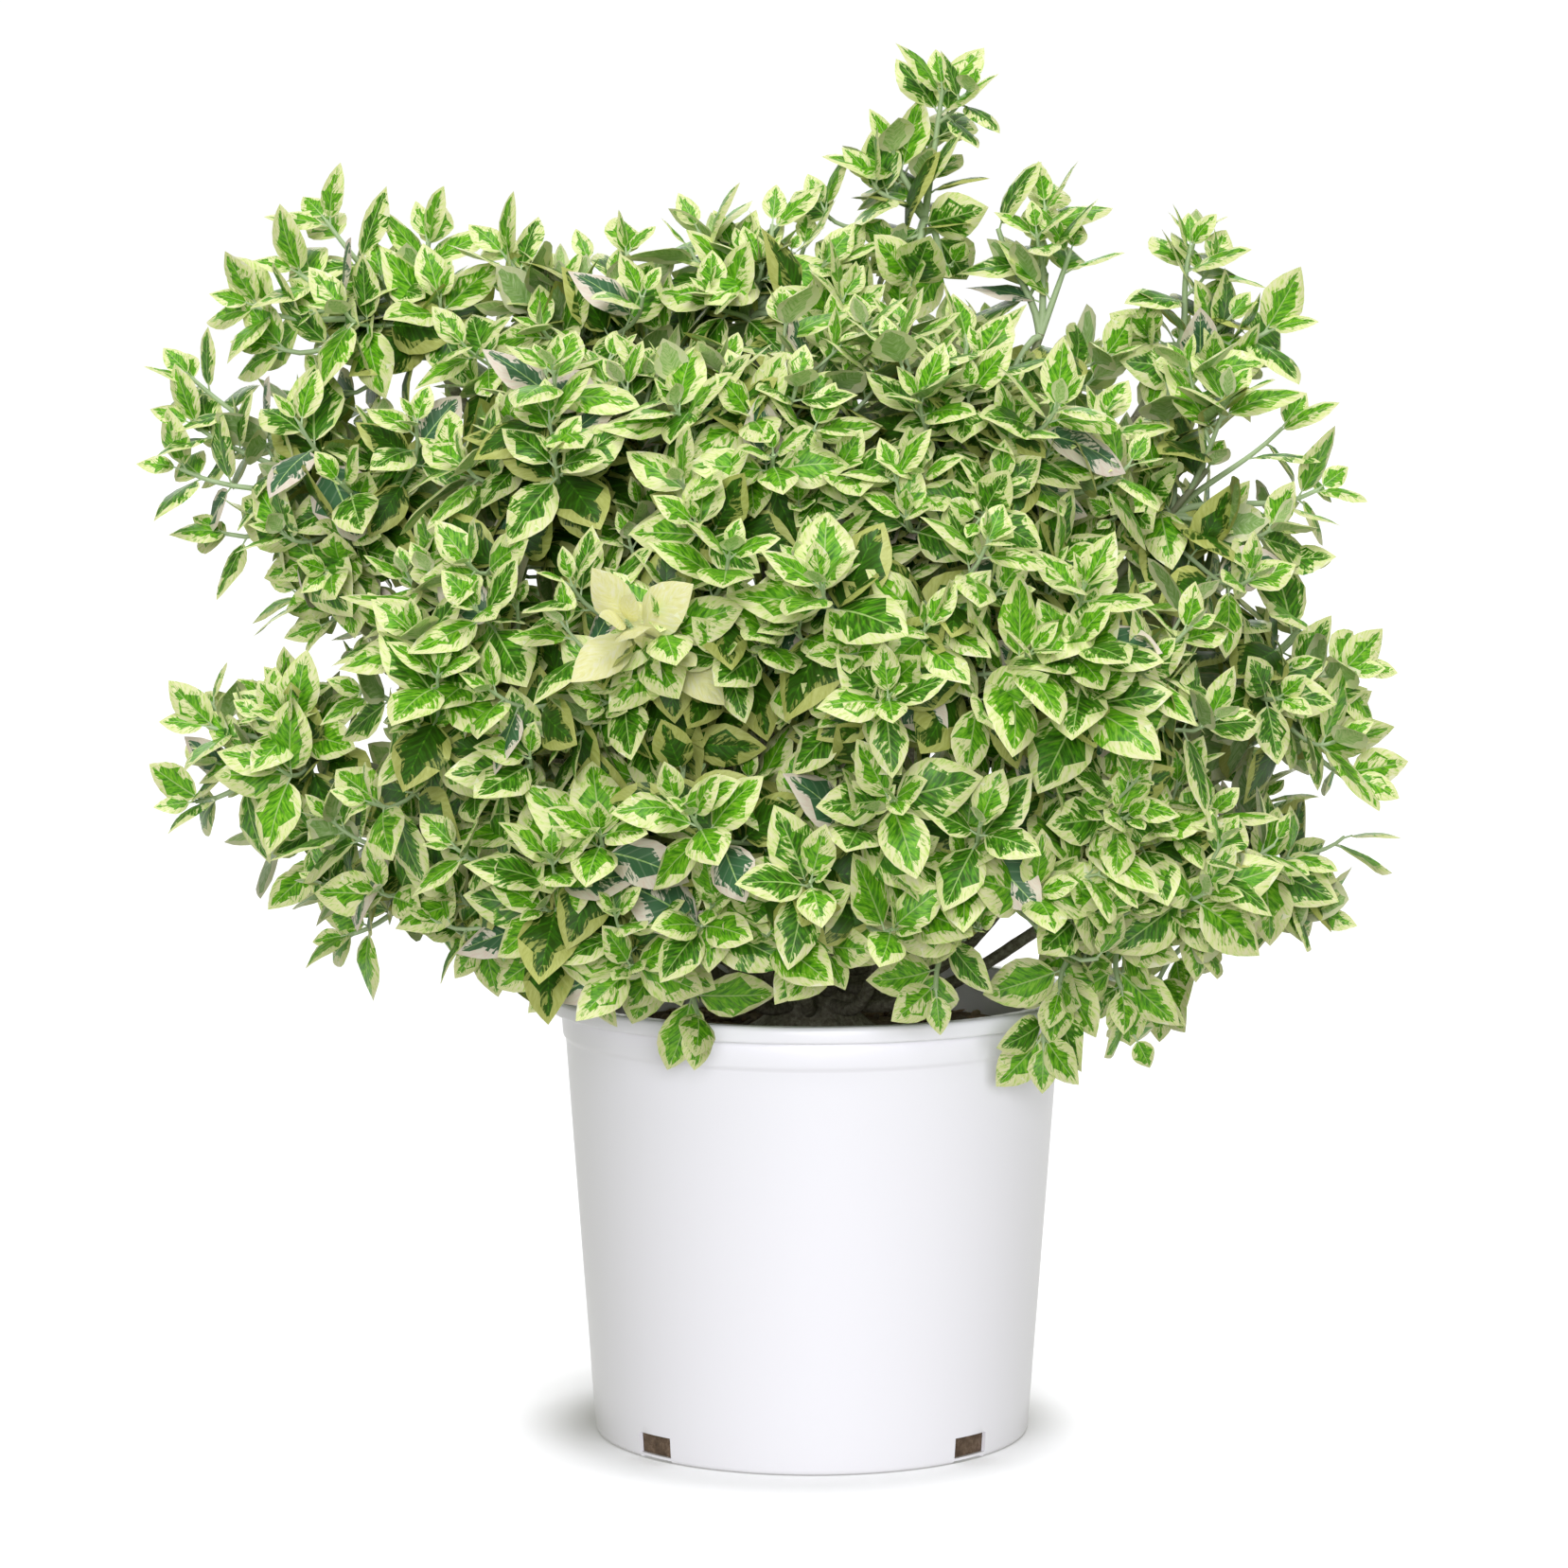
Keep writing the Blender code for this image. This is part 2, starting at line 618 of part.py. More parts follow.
def make_mass(mass, masses, boughs, section, leaf, collection, material):
    """One mass: its stem, shoots and leaves joined into one solid. Returns how many leaves it has."""
    pieces = bpy.data.collections.new(f"pieces_{mass.name}")
    bpy.context.scene.collection.children.link(pieces)
    lines = list(boughs.values())
    limbs = shoots_of(mass, masses, lines)
    radii = taper(3, BOUGH_TIP_RADIUS, STEM_TIP_RADIUS)
    stem = twig_solid(f"foliage_{mass.name}", limbs[0][0], radii, section, collection)
    for limb, _ in limbs[1:]:
        twig_solid("twig", limb, taper(len(limb), TWIG_RADIUS, TWIG_TIP_RADIUS), section, pieces)
    leaves = leaves_of(mass, limbs, masses, lines)
    for root, axes, length in leaves:
        blade = link(bpy.data.objects.new("blade", leaf), pieces)
        turn = Matrix(axes).transposed().to_4x4()
        blade.matrix_world = Matrix.Translation(root) @ turn @ Matrix.Scale(length, 4)
    join = stem.modifiers.new("join", "BOOLEAN")
    join.operation = "UNION"
    join.operand_type = "COLLECTION"
    join.collection = pieces
    join.solver = "EXACT"
    bpy.context.view_layer.update()
    graph = bpy.context.evaluated_depsgraph_get()
    joined = bpy.data.meshes.new_from_object(stem.evaluated_get(graph))
    stem.modifiers.clear()
    stem.data = joined
    keep_largest_shell(joined)
    joined.materials.clear()
    joined.materials.append(material)
    for piece in list(pieces.objects):
        bpy.data.objects.remove(piece)
    bpy.data.collections.remove(pieces)
    return len(leaves)


def main():
    for obj in list(bpy.data.objects):
        bpy.data.objects.remove(obj)
    plant = bpy.data.collections.new("potted_euonymus")
    cutters = bpy.data.collections.new("cutters")
    bpy.context.scene.collection.children.link(plant)
    bpy.context.scene.collection.children.link(cutters)
    white = make_material("white_plastic", (0.90, 0.90, 0.92), 0.35)
    mix = make_material("potting_mix", (0.09, 0.06, 0.04), 0.95)
    bark = make_material("bark", (0.30, 0.27, 0.20), 0.85)
    green = make_material("variegated_leaf", (0.36, 0.50, 0.18), 0.5)
    make_pot(plant, cutters, white)
    make_soil(plant, mix)
    make_stem(plant, bark)
    masses = [Mass(*row) for row in MASSES]
    boughs = bough_lines(masses)
    section = twig_section(cutters)
    leaf = leaf_mesh()
    total = 0
    for mass in masses:
        make_bough(mass, boughs[mass.name], plant, bark)
        count = make_mass(mass, masses, boughs, section, leaf, plant, green)
        print(mass.name, count, "leaves")
        total += count
    bpy.data.objects.remove(section)
    print(total, "leaves in all")


main()
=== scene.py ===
"""The look of a variegated wintercreeper euonymus in its white nursery pot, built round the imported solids.

All sizes are metres. The origin is the middle of the pot's foot, +Z is up and -Y faces the viewer.
The boughs and the masses of foliage are grown again here by the solids' own rule, and carried on to finer
twigs and life-size leaves.
"""

import math
import random
from dataclasses import dataclass

import bpy
import numpy as np
from mathutils import Matrix, Vector, noise


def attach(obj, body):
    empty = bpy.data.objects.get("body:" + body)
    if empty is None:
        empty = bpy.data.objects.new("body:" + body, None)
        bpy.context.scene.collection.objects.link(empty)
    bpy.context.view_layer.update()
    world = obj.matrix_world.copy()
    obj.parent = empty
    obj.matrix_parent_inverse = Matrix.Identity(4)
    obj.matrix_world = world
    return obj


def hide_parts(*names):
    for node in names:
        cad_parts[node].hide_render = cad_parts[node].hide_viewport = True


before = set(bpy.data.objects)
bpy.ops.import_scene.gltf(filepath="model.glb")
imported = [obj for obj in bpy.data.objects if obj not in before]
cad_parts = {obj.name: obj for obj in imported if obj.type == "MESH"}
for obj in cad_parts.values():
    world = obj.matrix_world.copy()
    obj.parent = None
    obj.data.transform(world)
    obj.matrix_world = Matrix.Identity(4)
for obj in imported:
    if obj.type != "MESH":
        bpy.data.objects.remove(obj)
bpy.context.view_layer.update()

# The pot, as in the solids.
POT_HEIGHT = 0.235
RIM_RADIUS = 0.140
WALL_TOP_RADIUS = 0.1308
FOOT_RADIUS = 0.1155
WALL = 0.0024
LIP_HEIGHT = 0.009
BAND_HEIGHT = 0.014
BAND_RADIUS = 0.1334
FLOOR = 0.0022
DRAIN_HOLES = 4
DRAIN_WIDTH = 0.023
DRAIN_LOW = 0.0028
DRAIN_HIGH = 0.0135
DRAIN_RADII = (0.104, 0.122)
NOTCH_HEIGHTS = (-0.003, 0.0014)
NOTCH_RADII = (0.1092, 0.122)
POT_EDGE = 0.0003
POT_SIDES = 192

# Potting mix and the short stem in it, as in the solids.
GAP = 0.0003
SOIL_TOP = POT_HEIGHT - 0.022
SOIL_SLOPE = 0.004
STEM_HEIGHT = 0.046
STEM_LEAN = Vector((0.002, -0.002, 0.0))
STEM_RINGS = (
    (0.0, 0.0340, 0.16),
    (0.005, 0.0286, 0.10),
    (0.011, 0.0245, 0.0),
    (0.041, 0.0238, 0.0),
    (STEM_HEIGHT, 0.0224, 0.0),
)
FLARE_LOBES = 5

# The crumbly top of the mix, as noise of a few scales and heights, and the stem's furrowed bark.
SOIL_SIDES = 128
SOIL_TOP_RINGS = 26
SOIL_LUMPS = ((95, 0.0022), (260, 0.0012))
SOIL_SETTLED = 0.0010
STEM_SIDES = 72
STEM_STEPS = 34
STEM_KNOBS = 0.035
STEM_FURROWS = 0.09

# Loose bark chips on the potting mix.
CHIPS = 460
CHIP_HALF_LENGTHS = (0.0025, 0.0070)
CHIP_RADII = (0.0009, 0.0022)
CHIP_HEIGHTS = (0.0002, 0.0016)
CHIP_TILT = 0.25
CHIP_EDGE_GAP = 0.008
CLEAR_OF_FLARE = 1.15
CHIP_SIDES = 6
CHIP_COLOURS = ((0.34, 0.24, 0.16), (0.16, 0.10, 0.07), (0.24, 0.20, 0.15))

# Limbs, as in the solids.
BOUGH_FOOT_RADIUS = 0.0036
BOUGH_TIP_RADIUS = 0.0028
BOUGH_SUNK = 0.003
BOUGH_POINTS = 12
STRAIGHT_END = 0.014
TOP_RING_RADIUS = 0.0165
ROWS = ((0.016, 0.355), (0.0265, 0.450), (0.037, 0.545))
GOLDEN_TURN = math.radians(137.508)
LIFT = 0.35
HEAD_REACH = 0.25
ENTRY_DEPTH = 0.80
WIDEST_ANGLE = math.radians(100)
CLOSEST_ANGLE = math.radians(14)
POT_CLEARANCE = 0.003
UP = Vector((0, 0, 1))
CROWN_HEART = Vector((0, 0, 0.335))
BOUGH_HEART = Vector((0, 0, 0.270))

# Every mass of foliage, as in the solids: its name, its middle, its radius and the tips of its long shoots.
# Two long shoots of left_low reach a little less high than in the solids.
MASSES = (
    ("front_low_left", (-0.105, -0.160, 0.318), 0.074, ((-0.075, -0.188, 0.262), (-0.140, -0.165, 0.250))),
    ("front_low", (-0.012, -0.182, 0.330), 0.074, ((0.010, -0.225, 0.275),)),
    ("front_low_right", (0.080, -0.162, 0.325), 0.068, ((0.062, -0.190, 0.245),)),
    ("right_low_front", (0.165, -0.112, 0.312), 0.070, ((0.128, -0.150, 0.240), (0.225, -0.120, 0.285))),
    ("left_low_front", (-0.190, -0.085, 0.310), 0.064, ((-0.200, -0.100, 0.235), (-0.262, -0.070, 0.268))),
    ("left_low", (-0.270, -0.010, 0.368), 0.060, ((-0.348, -0.010, 0.336), (-0.338, -0.020, 0.384),
                                                   (-0.290, -0.030, 0.408))),
    ("right_low", (0.240, 0.005, 0.300), 0.064, ((0.288, 0.000, 0.272), (0.192, -0.030, 0.215))),
    ("left_mid_front", (-0.168, -0.132, 0.402), 0.072, ((-0.245, -0.130, 0.410),)),
    ("front_mid_left", (-0.068, -0.185, 0.425), 0.074, ()),
    ("front_mid_right", (0.030, -0.196, 0.425), 0.074, ()),
    ("right_mid_front", (0.125, -0.155, 0.412), 0.072, ((0.160, -0.205, 0.395),)),
    ("right_mid", (0.235, -0.010, 0.405), 0.072, ((0.302, -0.010, 0.412), (0.308, 0.000, 0.347))),
    ("left_high_front", (-0.128, -0.122, 0.505), 0.072, ()),
    ("front_high", (-0.030, -0.150, 0.520), 0.074, ()),
    ("right_high_front", (0.072, -0.140, 0.510), 0.072, ()),
    ("right_high", (0.192, -0.050, 0.498), 0.072, ((0.284, -0.010, 0.512), (0.272, -0.020, 0.470))),
    ("left_high", (-0.240, 0.000, 0.498), 0.070, ((-0.352, 0.000, 0.522), (-0.332, 0.010, 0.484),
                                                   (-0.344, 0.010, 0.574), (-0.292, -0.020, 0.452))),
    ("right_top", (0.200, 0.020, 0.582), 0.062, ((0.206, 0.010, 0.648), (0.258, 0.010, 0.598),
                                                 (0.174, 0.020, 0.622))),
    ("left_top", (-0.215, 0.010, 0.592), 0.060, ((-0.268, 0.010, 0.660), (-0.208, 0.020, 0.652),
                                                 (-0.312, 0.000, 0.610))),
    ("top_leader", (0.060, 0.005, 0.650), 0.052, ((0.071, 0.000, 0.731), (0.040, 0.000, 0.700))),
    ("top_mid", (-0.032, -0.030, 0.602), 0.068, ((-0.066, -0.020, 0.657), (-0.020, -0.010, 0.661))),
    ("top_left", (-0.125, -0.015, 0.590), 0.066, ((-0.172, 0.000, 0.642), (-0.120, 0.000, 0.640))),
    ("top_right", (0.122, -0.020, 0.590), 0.062, ((0.142, -0.010, 0.646), (0.128, -0.040, 0.612))),
    ("back_left", (-0.165, 0.125, 0.370), 0.088, ()),
    ("back_low", (0.000, 0.190, 0.345), 0.088, ()),
    ("back_right", (0.165, 0.125, 0.370), 0.088, ()),
    ("back_high_left", (-0.095, 0.110, 0.510), 0.088, ((-0.110, 0.130, 0.610),)),
    ("back_high_right", (0.090, 0.110, 0.510), 0.088, ((0.080, 0.140, 0.600),)),
)

# The finer growth, which the solids leave out. First how full each mass is, where it is less than 1:
# the crown's outer masses are open, with the background showing between their long shoots.
FULLNESS = {
    "top_left": 0.55,
    "top_mid": 0.58,
    "top_right": 0.26,
    "top_leader": 0.30,
    "left_top": 0.50,
    "right_top": 0.38,
    "left_high": 0.72,
    "right_high": 0.70,
    "left_low": 0.70,
    "right_mid": 0.58,
    "left_low_front": 0.70,
    "right_low": 0.58,
    "right_low_front": 0.82,
}
# How low the leaves of a front mass hang, apart from those on long shoots, so that the pot's inside shows.
LOWEST = {
    "front_low_left": 0.252,
    "front_low": 0.277,
    "front_low_right": 0.282,
    "left_low_front": 0.276,
    "right_low_front": 0.268,
    "right_low": 0.262,
}
# The tip of the one spray of all cream leaves, in the front of the crown.
PALE_SPRAY = (-0.095, -0.268, 0.456)
# More long shoots than the solids have, by the mass that bears them.
SPRIGS = {
    "front_low_left": ((-0.055, -0.168, 0.226),),
    "right_low_front": ((0.120, -0.132, 0.206), (0.176, -0.120, 0.210), (0.168, -0.135, 0.238)),
    "left_low_front": ((-0.182, -0.100, 0.258),),
    "left_low": ((-0.282, -0.030, 0.288), (-0.290, -0.064, 0.396), (-0.284, 0.050, 0.372)),
    "right_low": ((0.258, -0.058, 0.312), (0.258, 0.068, 0.320)),
    "front_mid_left": (PALE_SPRAY,),
    "right_mid": ((0.306, 0.000, 0.416), (0.292, 0.000, 0.376), (0.256, -0.078, 0.402),
                  (0.260, 0.062, 0.400)),
    "left_high_front": ((-0.112, -0.066, 0.560),),
    "front_high": ((0.016, -0.110, 0.604),),
    "right_high_front": ((0.044, -0.100, 0.604), (0.082, -0.090, 0.600), (0.062, -0.110, 0.590)),
    "right_high": ((0.262, 0.000, 0.548), (0.150, 0.020, 0.560), (0.142, -0.090, 0.522),
                   (0.232, 0.058, 0.490)),
    "left_high": ((-0.344, 0.000, 0.548), (-0.280, -0.020, 0.464), (-0.276, -0.020, 0.428),
                  (-0.262, 0.062, 0.520), (-0.256, -0.066, 0.520), (-0.268, -0.058, 0.464)),
    "left_top": ((-0.286, 0.000, 0.630), (-0.300, 0.000, 0.585)),
    "right_top": ((0.180, 0.000, 0.600), (0.232, 0.000, 0.606)),
    "top_leader": ((0.026, -0.010, 0.682), (0.052, -0.060, 0.622), (0.082, -0.040, 0.632),
                   (0.044, -0.050, 0.602)),
    "top_mid": ((-0.045, -0.010, 0.648), (0.000, 0.000, 0.648), (0.022, -0.030, 0.640),
                (0.030, -0.060, 0.610), (0.012, -0.070, 0.604)),
    "top_left": ((-0.150, 0.000, 0.622), (-0.110, 0.055, 0.588)),
    "top_right": ((0.096, 0.000, 0.670), (0.126, 0.000, 0.670), (0.086, -0.045, 0.566)),
    "back_left": ((-0.242, 0.068, 0.342), (-0.214, 0.096, 0.290), (-0.226, 0.088, 0.430)),
    "back_right": ((0.236, 0.072, 0.360), (0.212, 0.098, 0.290), (0.222, 0.090, 0.430)),
    "back_high_left": ((-0.045, 0.060, 0.600), (-0.085, 0.030, 0.590), (-0.204, 0.078, 0.520),
                       (-0.176, 0.100, 0.460)),
    "back_high_right": ((0.030, 0.060, 0.600), (0.085, 0.050, 0.580), (0.060, 0.010, 0.575),
                        (0.196, 0.086, 0.500)),
}
# Where the photograph shows its background, or the pot's inside, between the shoots: x and z of the middle of
# each opening at y = 0 as the camera sees it, and its radius. Only the leaves near the tips of long shoots
# cross these, and no shoot ends in one.
OPENINGS = (
    (0.128, 0.602, 0.020),
    (0.150, 0.618, 0.022),
    (0.166, 0.632, 0.018),
    (0.114, 0.582, 0.013),
    (-0.318, 0.456, 0.020),
    (-0.300, 0.449, 0.013),
    (-0.243, 0.386, 0.016),
    (-0.238, 0.367, 0.014),
    (-0.233, 0.399, 0.014),
    (0.205, 0.500, 0.018),
    (0.242, 0.526, 0.020),
    (0.269, 0.441, 0.014),
    (0.263, 0.425, 0.012),
    (0.276, 0.320, 0.016),
    (0.169, 0.239, 0.013),
    (0.108, 0.264, 0.018),
    (-0.216, 0.256, 0.020),
    (-0.208, 0.220, 0.012),
    (-0.236, 0.646, 0.012),
)
# The side shoots of a mass. A full mass of the usual radius has this many, an open one fewer and a larger one
# more. Each ends where the crown's own rounded surface has about the value HULL, and turns up by its lift.
SHOOTS = 12
USUAL_RADIUS = 0.074
OPEN_MASS_SHARE = 0.4
MORE_FOR_LARGE = 2.5
REACHES_TRIED = tuple(1.50 - 0.07 * step for step in range(15))
TURN_SPREAD = 0.25
HULL = 0.53
HULL_SPREAD = 0.17
SIDE_FOOT = 0.2
SIDE_FOOT_SPREAD = 0.65
SIDE_LIFT = 0.75
TIP_REACH = 0.022
SHOOT_POINTS = 8

# The long shoots, which end at the mass's own tips. Vigour is the size of leaves against a side shoot's.
LEADER_FOOT = 0.6
LEADER_LIFT = 0.15
LONG_TIP_REACH = 0.023
LONG_VIGOUR = 0.97

# The fine twigs on every shoot, by where their feet are along it. Some are skipped.
FINE_FEET = (0.30, 0.52, 0.74)
LEAST_PAST_FOOT = 0.014
FINE_SKIPPED = 0.26
LONG_FINE_SKIPPED = 0.60
FINE_LENGTHS = (0.030, 0.048)
LONG_FINE_LENGTHS = (0.014, 0.026)
FINE_LIFT = 0.35
FINE_VIGOUR = 0.92
LONG_FINE_VIGOUR = 0.80
SAME_KIND_ODDS = 0.6
FINE_POINTS = 5

# How far shoots and leaves may cross into the next mass's space, and how far leaves keep from the boughs.
CELL_OVERLAP = 0.16
LEAF_CELL_OVERLAP = 0.28
LONG_CELL_OVERLAP = 0.30
LIMB_CLEARANCE = 0.006
LIMB_SPACING = 0.006

# Radius at the foot and the tip of a mass's stem, a long shoot, a side shoot and a fine twig, and how finely
# twigs and boughs are drawn.
STEM_RADII = (BOUGH_TIP_RADIUS, 0.00154)
LONG_RADII = (0.0021, 0.0012)
SIDE_RADII = (0.0016, 0.0010)
FINE_RADII = (0.0011, 0.0008)
PAST_LAST_LEAF = 0.0015
TWIG_SIDES = 6
TWIG_SPACING = 0.006
BOUGH_SIDES = 18
BOUGH_SPACING = 0.0035

# Leaf pairs down a shoot from its tip: distance from the tip, leaf length, and how far the leaf leans out.
PAIRS = (
    (0.0010, 0.017, 16),
    (0.0030, 0.029, 36),
    (0.0090, 0.038, 55),
    (0.0185, 0.043, 67),
    (0.0310, 0.045, 74),
    (0.0470, 0.045, 78),
    (0.0640, 0.044, 81),
    (0.0820, 0.043, 84),
    (0.1010, 0.042, 84),
    (0.1210, 0.040, 84),
)
# The same down a long shoot, where the pairs stand further apart.
LONG_PAIRS = (
    (0.0010, 0.022, 14),
    (0.0040, 0.032, 34),
    (0.0130, 0.038, 50),
    (0.0290, 0.040, 60),
    (0.0520, 0.039, 66),
    (0.0800, 0.038, 72),
    (0.1120, 0.038, 78),
)
# How leaves vary. A leaf of a pair may be missing further down a long shoot, and one near a tip may be left
# out where its face would turn away from the light.
LONG_GAPS_FROM = 3
LONG_GAP_ODDS = 0.15
TURNED_AWAY_SKIPPED = 0.45
LONG_TURNED_AWAY_SKIPPED = 0.72
TURNED_AWAY = -0.12
LEAVES_NEAR_TIP = 4
LIGHT_TURN = 0.22
LONG_LIGHT_TURN = 0.80
BACK_MASS_FROM = 0.06
BARE_STEM = 0.30
BARE_SHOOT = 0.12
LEAF_VIGOUR = (0.76, 1.14)
LONG_LEAF_VIGOUR = (0.90, 1.10)
LEAF_SIZES = (0.86, 1.10)
LEAN_SPREAD = 9
LEAF_TURN_SPREAD = 0.22
SIDES_TRIED = (0.0, 0.45, -0.45)
LEAF_APART = 0.0125
SAME_FACING = 0.6
LEAF_SAMPLES = (0.3, 0.65, 1.0)
STALK = 0.0042
STALK_RADII = (0.00078, 0.00052)
STALK_SIDES = 4
IN_BLADE = 0.05

# The kinds of leaves, by how many pairs down the shoot they stand: the first pairs are young, or new in the
# pale spray, the next one may be light, and those after it old or green. Inside the crown they take the shade
# kind, darker green as inner leaves are, and darker and yellower still as painted shade.
BRIGHT_ODDS = 0.34
GREEN_ODDS = 0.40
YOUNG_PAIRS = 2
NEW_PAIRS = 3
LIGHT_LEAF_ODDS = 0.30
OLD_LEAF_ODDS = 0.08
GREEN_LEAF_ODDS = 0.42
LIT_PAIRS = 4
STEM_LIT_PAIRS = 2
ONE_MORE_LIT_ODDS = 0.25

# A leaf's outline: share of its length, and half its width there as a share of the widest. It is drawn in a
# few forms, which fold, bend and point it in their own way, and with a few patterns of green.
LEAF_STATIONS = (
    (0.040, 0.30),
    (0.135, 0.66),
    (0.275, 0.92),
    (0.440, 1.00),
    (0.610, 0.92),
    (0.765, 0.68),
    (0.900, 0.34),
)
LEAF_HALF_WIDTH = 0.335
RIB_HALF_WIDTH = 0.011
LEAF_THICKNESS = 0.012
BLADE_ARCH = 0.35
RIB_SUNK = 0.004
TOOTH = 0.008
FORMS = 6
FOLDS = (6, 24)
BENDS = (0.10, 0.70)
WIDTHS = (0.90, 1.12)
WAVES = (0.01, 0.035)
TWISTS = (-0.25, 0.25)
POINTED = (0.0, 0.55)

# How far out a leaf's green reaches in each pattern, as a share of its half width. It narrows towards the
# tip, and its border is ragged. The feathered zone starts a little further in.
GREEN_WIDTHS = (0.86, 0.74, 0.66, 0.80, 0.56, 0.90, 0.70, 0.78, 0.62, 0.83)
PATTERNS = len(GREEN_WIDTHS)
NARROWS_FROM = 0.42
NARROWS_BY = 0.85
RAGGED = 0.10
GREEN_LIMITS = (0.16, 0.94)
FEATHER_FROM = (0.60, 0.82)

# Veins and streaks of a leaf, on its own map: across 0 at the midrib to 1 at the edge, along 0 to 1.
VEIN_PAIRS = 6
VEIN_SLANT = 0.33
VEIN_STRENGTH = 0.34
VEIN_WIDTHS = (0.02, 0.13)
STREAK_SCALE = 17.0
STREAK_SHARE = 0.16
STREAK_ROUGHNESS = 0.62
MAP_STEP = 3.0
MAP_STEPS = 61

# Zones of a leaf that take their own colour, and the odds that a face takes its neighbour's zone.
RIB, INNER, FEATHER, EDGE, UNDER, UNDER_EDGE = range(6)
FEATHER_TO_INNER = 0.16
EDGE_TO_FEATHER = 0.14
INNER_TO_FEATHER = 0.06
LAST_INNER_TO_FEATHER = 0.5

CREAM = (0.87, 0.88, 0.49)
WARM_CREAM = (0.90, 0.88, 0.64)
WHITE_CREAM = (0.84, 0.78, 0.68)
BRIGHT_GREEN = (0.180, 0.520, 0.012)
YELLOW_GREEN = (0.340, 0.620, 0.060)
MID_GREEN = (0.090, 0.335, 0.008)
DEEP_GREEN = (0.046, 0.180, 0.008)
# SHADE_GREEN is the shade skins' colour: partly the darker green of inner leaves, partly painted shade. In
# mid_green it is only a dark streak.
SHADE_GREEN = (0.030, 0.090, 0.004)
BLUE_GREEN = (0.055, 0.155, 0.070)
PALE_GREEN = (0.330, 0.540, 0.090)
# The undersides are paler than the tops, as they are, and paler still as painted light standing for the light
# that shines through the leaf.
UNDER_GREEN = (0.430, 0.640, 0.250)
UNDER_CREAM = (0.950, 0.950, 0.700)

# Each leaf skin: the colour of its side veins, if they show, and the colours that its streaks run through.
LEAF_SKINS = {
    "rib_green": (None, ((0.35, (0.36, 0.56, 0.17)), (0.65, (0.46, 0.64, 0.22)))),
    "bright_green": (
        PALE_GREEN,
        ((0.36, DEEP_GREEN), (0.46, MID_GREEN), (0.57, BRIGHT_GREEN), (0.70, YELLOW_GREEN)),
    ),
    "mid_green": (
        PALE_GREEN,
        ((0.36, SHADE_GREEN), (0.48, DEEP_GREEN), (0.60, MID_GREEN), (0.72, BRIGHT_GREEN)),
    ),
    # The shade skins below are partly the darker colours of inner leaves and partly painted shade: darker,
    # and yellower in the cream.
    "shade_green": (MID_GREEN, ((0.44, SHADE_GREEN), (0.66, DEEP_GREEN))),
    "old_green": ((0.30, 0.42, 0.28), ((0.35, BLUE_GREEN), (0.65, (0.065, 0.180, 0.080)))),
    "feathered_bright": (
        None,
        ((0.41, MID_GREEN), (0.47, BRIGHT_GREEN), (0.53, YELLOW_GREEN), (0.60, CREAM)),
    ),
    "feathered_mid": (None, ((0.42, DEEP_GREEN), (0.48, MID_GREEN), (0.53, PALE_GREEN), (0.60, CREAM))),
    "feathered_pale": (None, ((0.36, BRIGHT_GREEN), (0.43, PALE_GREEN), (0.52, CREAM))),
    # Painted shade on the feathered zone of leaves inside the crown.
    "feathered_shade": (None, ((0.47, SHADE_GREEN), (0.56, (0.36, 0.42, 0.10)))),
    "feathered_old": (None, ((0.46, BLUE_GREEN), (0.56, WHITE_CREAM))),
    "cream": (
        None,
        ((0.35, (0.52, 0.74, 0.17)), (0.455, (0.78, 0.86, 0.37)), (0.545, CREAM), (0.68, (0.90, 0.89, 0.60))),
    ),
    "warm_cream": (None, ((0.34, (0.82, 0.80, 0.36)), (0.50, (0.87, 0.86, 0.46)), (0.66, WARM_CREAM))),
    "white_edge": (None, ((0.36, (0.80, 0.66, 0.58)), (0.60, WHITE_CREAM))),
    # Cream margin darkened and yellowed as painted shade, as cream looks in shadow.
    "shade_cream": (None, ((0.36, (0.46, 0.50, 0.12)), (0.66, (0.60, 0.64, 0.22)))),
    # The under skins are partly the leaves' own pale undersides and partly painted light standing for light
    # through the leaf.
    "under_green": (
        (0.66, 0.80, 0.50),
        ((0.38, (0.30, 0.52, 0.15)), (0.54, UNDER_GREEN), (0.68, (0.66, 0.80, 0.46))),
    ),
    "young_under": ((0.80, 0.90, 0.60), ((0.38, (0.38, 0.64, 0.18)), (0.58, (0.70, 0.84, 0.44)))),
    "under_cream": (None, ((0.34, (0.88, 0.91, 0.56)), (0.60, UNDER_CREAM))),
}
SKIN_NAMES = tuple(LEAF_SKINS)

# The skins that each kind of leaf wears, zone by zone.
KINDS = {
    "bright": ("rib_green", "bright_green", "feathered_bright", "cream", "under_green", "under_cream"),
    "green": ("rib_green", "mid_green", "feathered_mid", "cream", "under_green", "under_cream"),
    "light": ("rib_green", "bright_green", "feathered_pale", "cream", "under_green", "under_cream"),
    "young": ("rib_green", "bright_green", "feathered_pale", "cream", "young_under", "under_cream"),
    "new": ("warm_cream", "warm_cream", "warm_cream", "warm_cream", "under_cream", "under_cream"),
    "old": ("under_green", "old_green", "feathered_old", "white_edge", "under_green", "white_edge"),
    # The shade kind, for leaves inside the crown, wears the painted-shade skins and a darker rib.
    "shade": ("mid_green", "shade_green", "feathered_shade", "shade_cream", "under_green", "shade_cream"),
}

# The photograph's camera, fitted to the pot's rim, band and foot.
CAMERA_PLACE = (-0.01485, -2.475, 0.583)
CAMERA_PITCH = 0.09605
CAMERA_LENS = 107.95
CAMERA_SENSOR = 36


# Finishes.

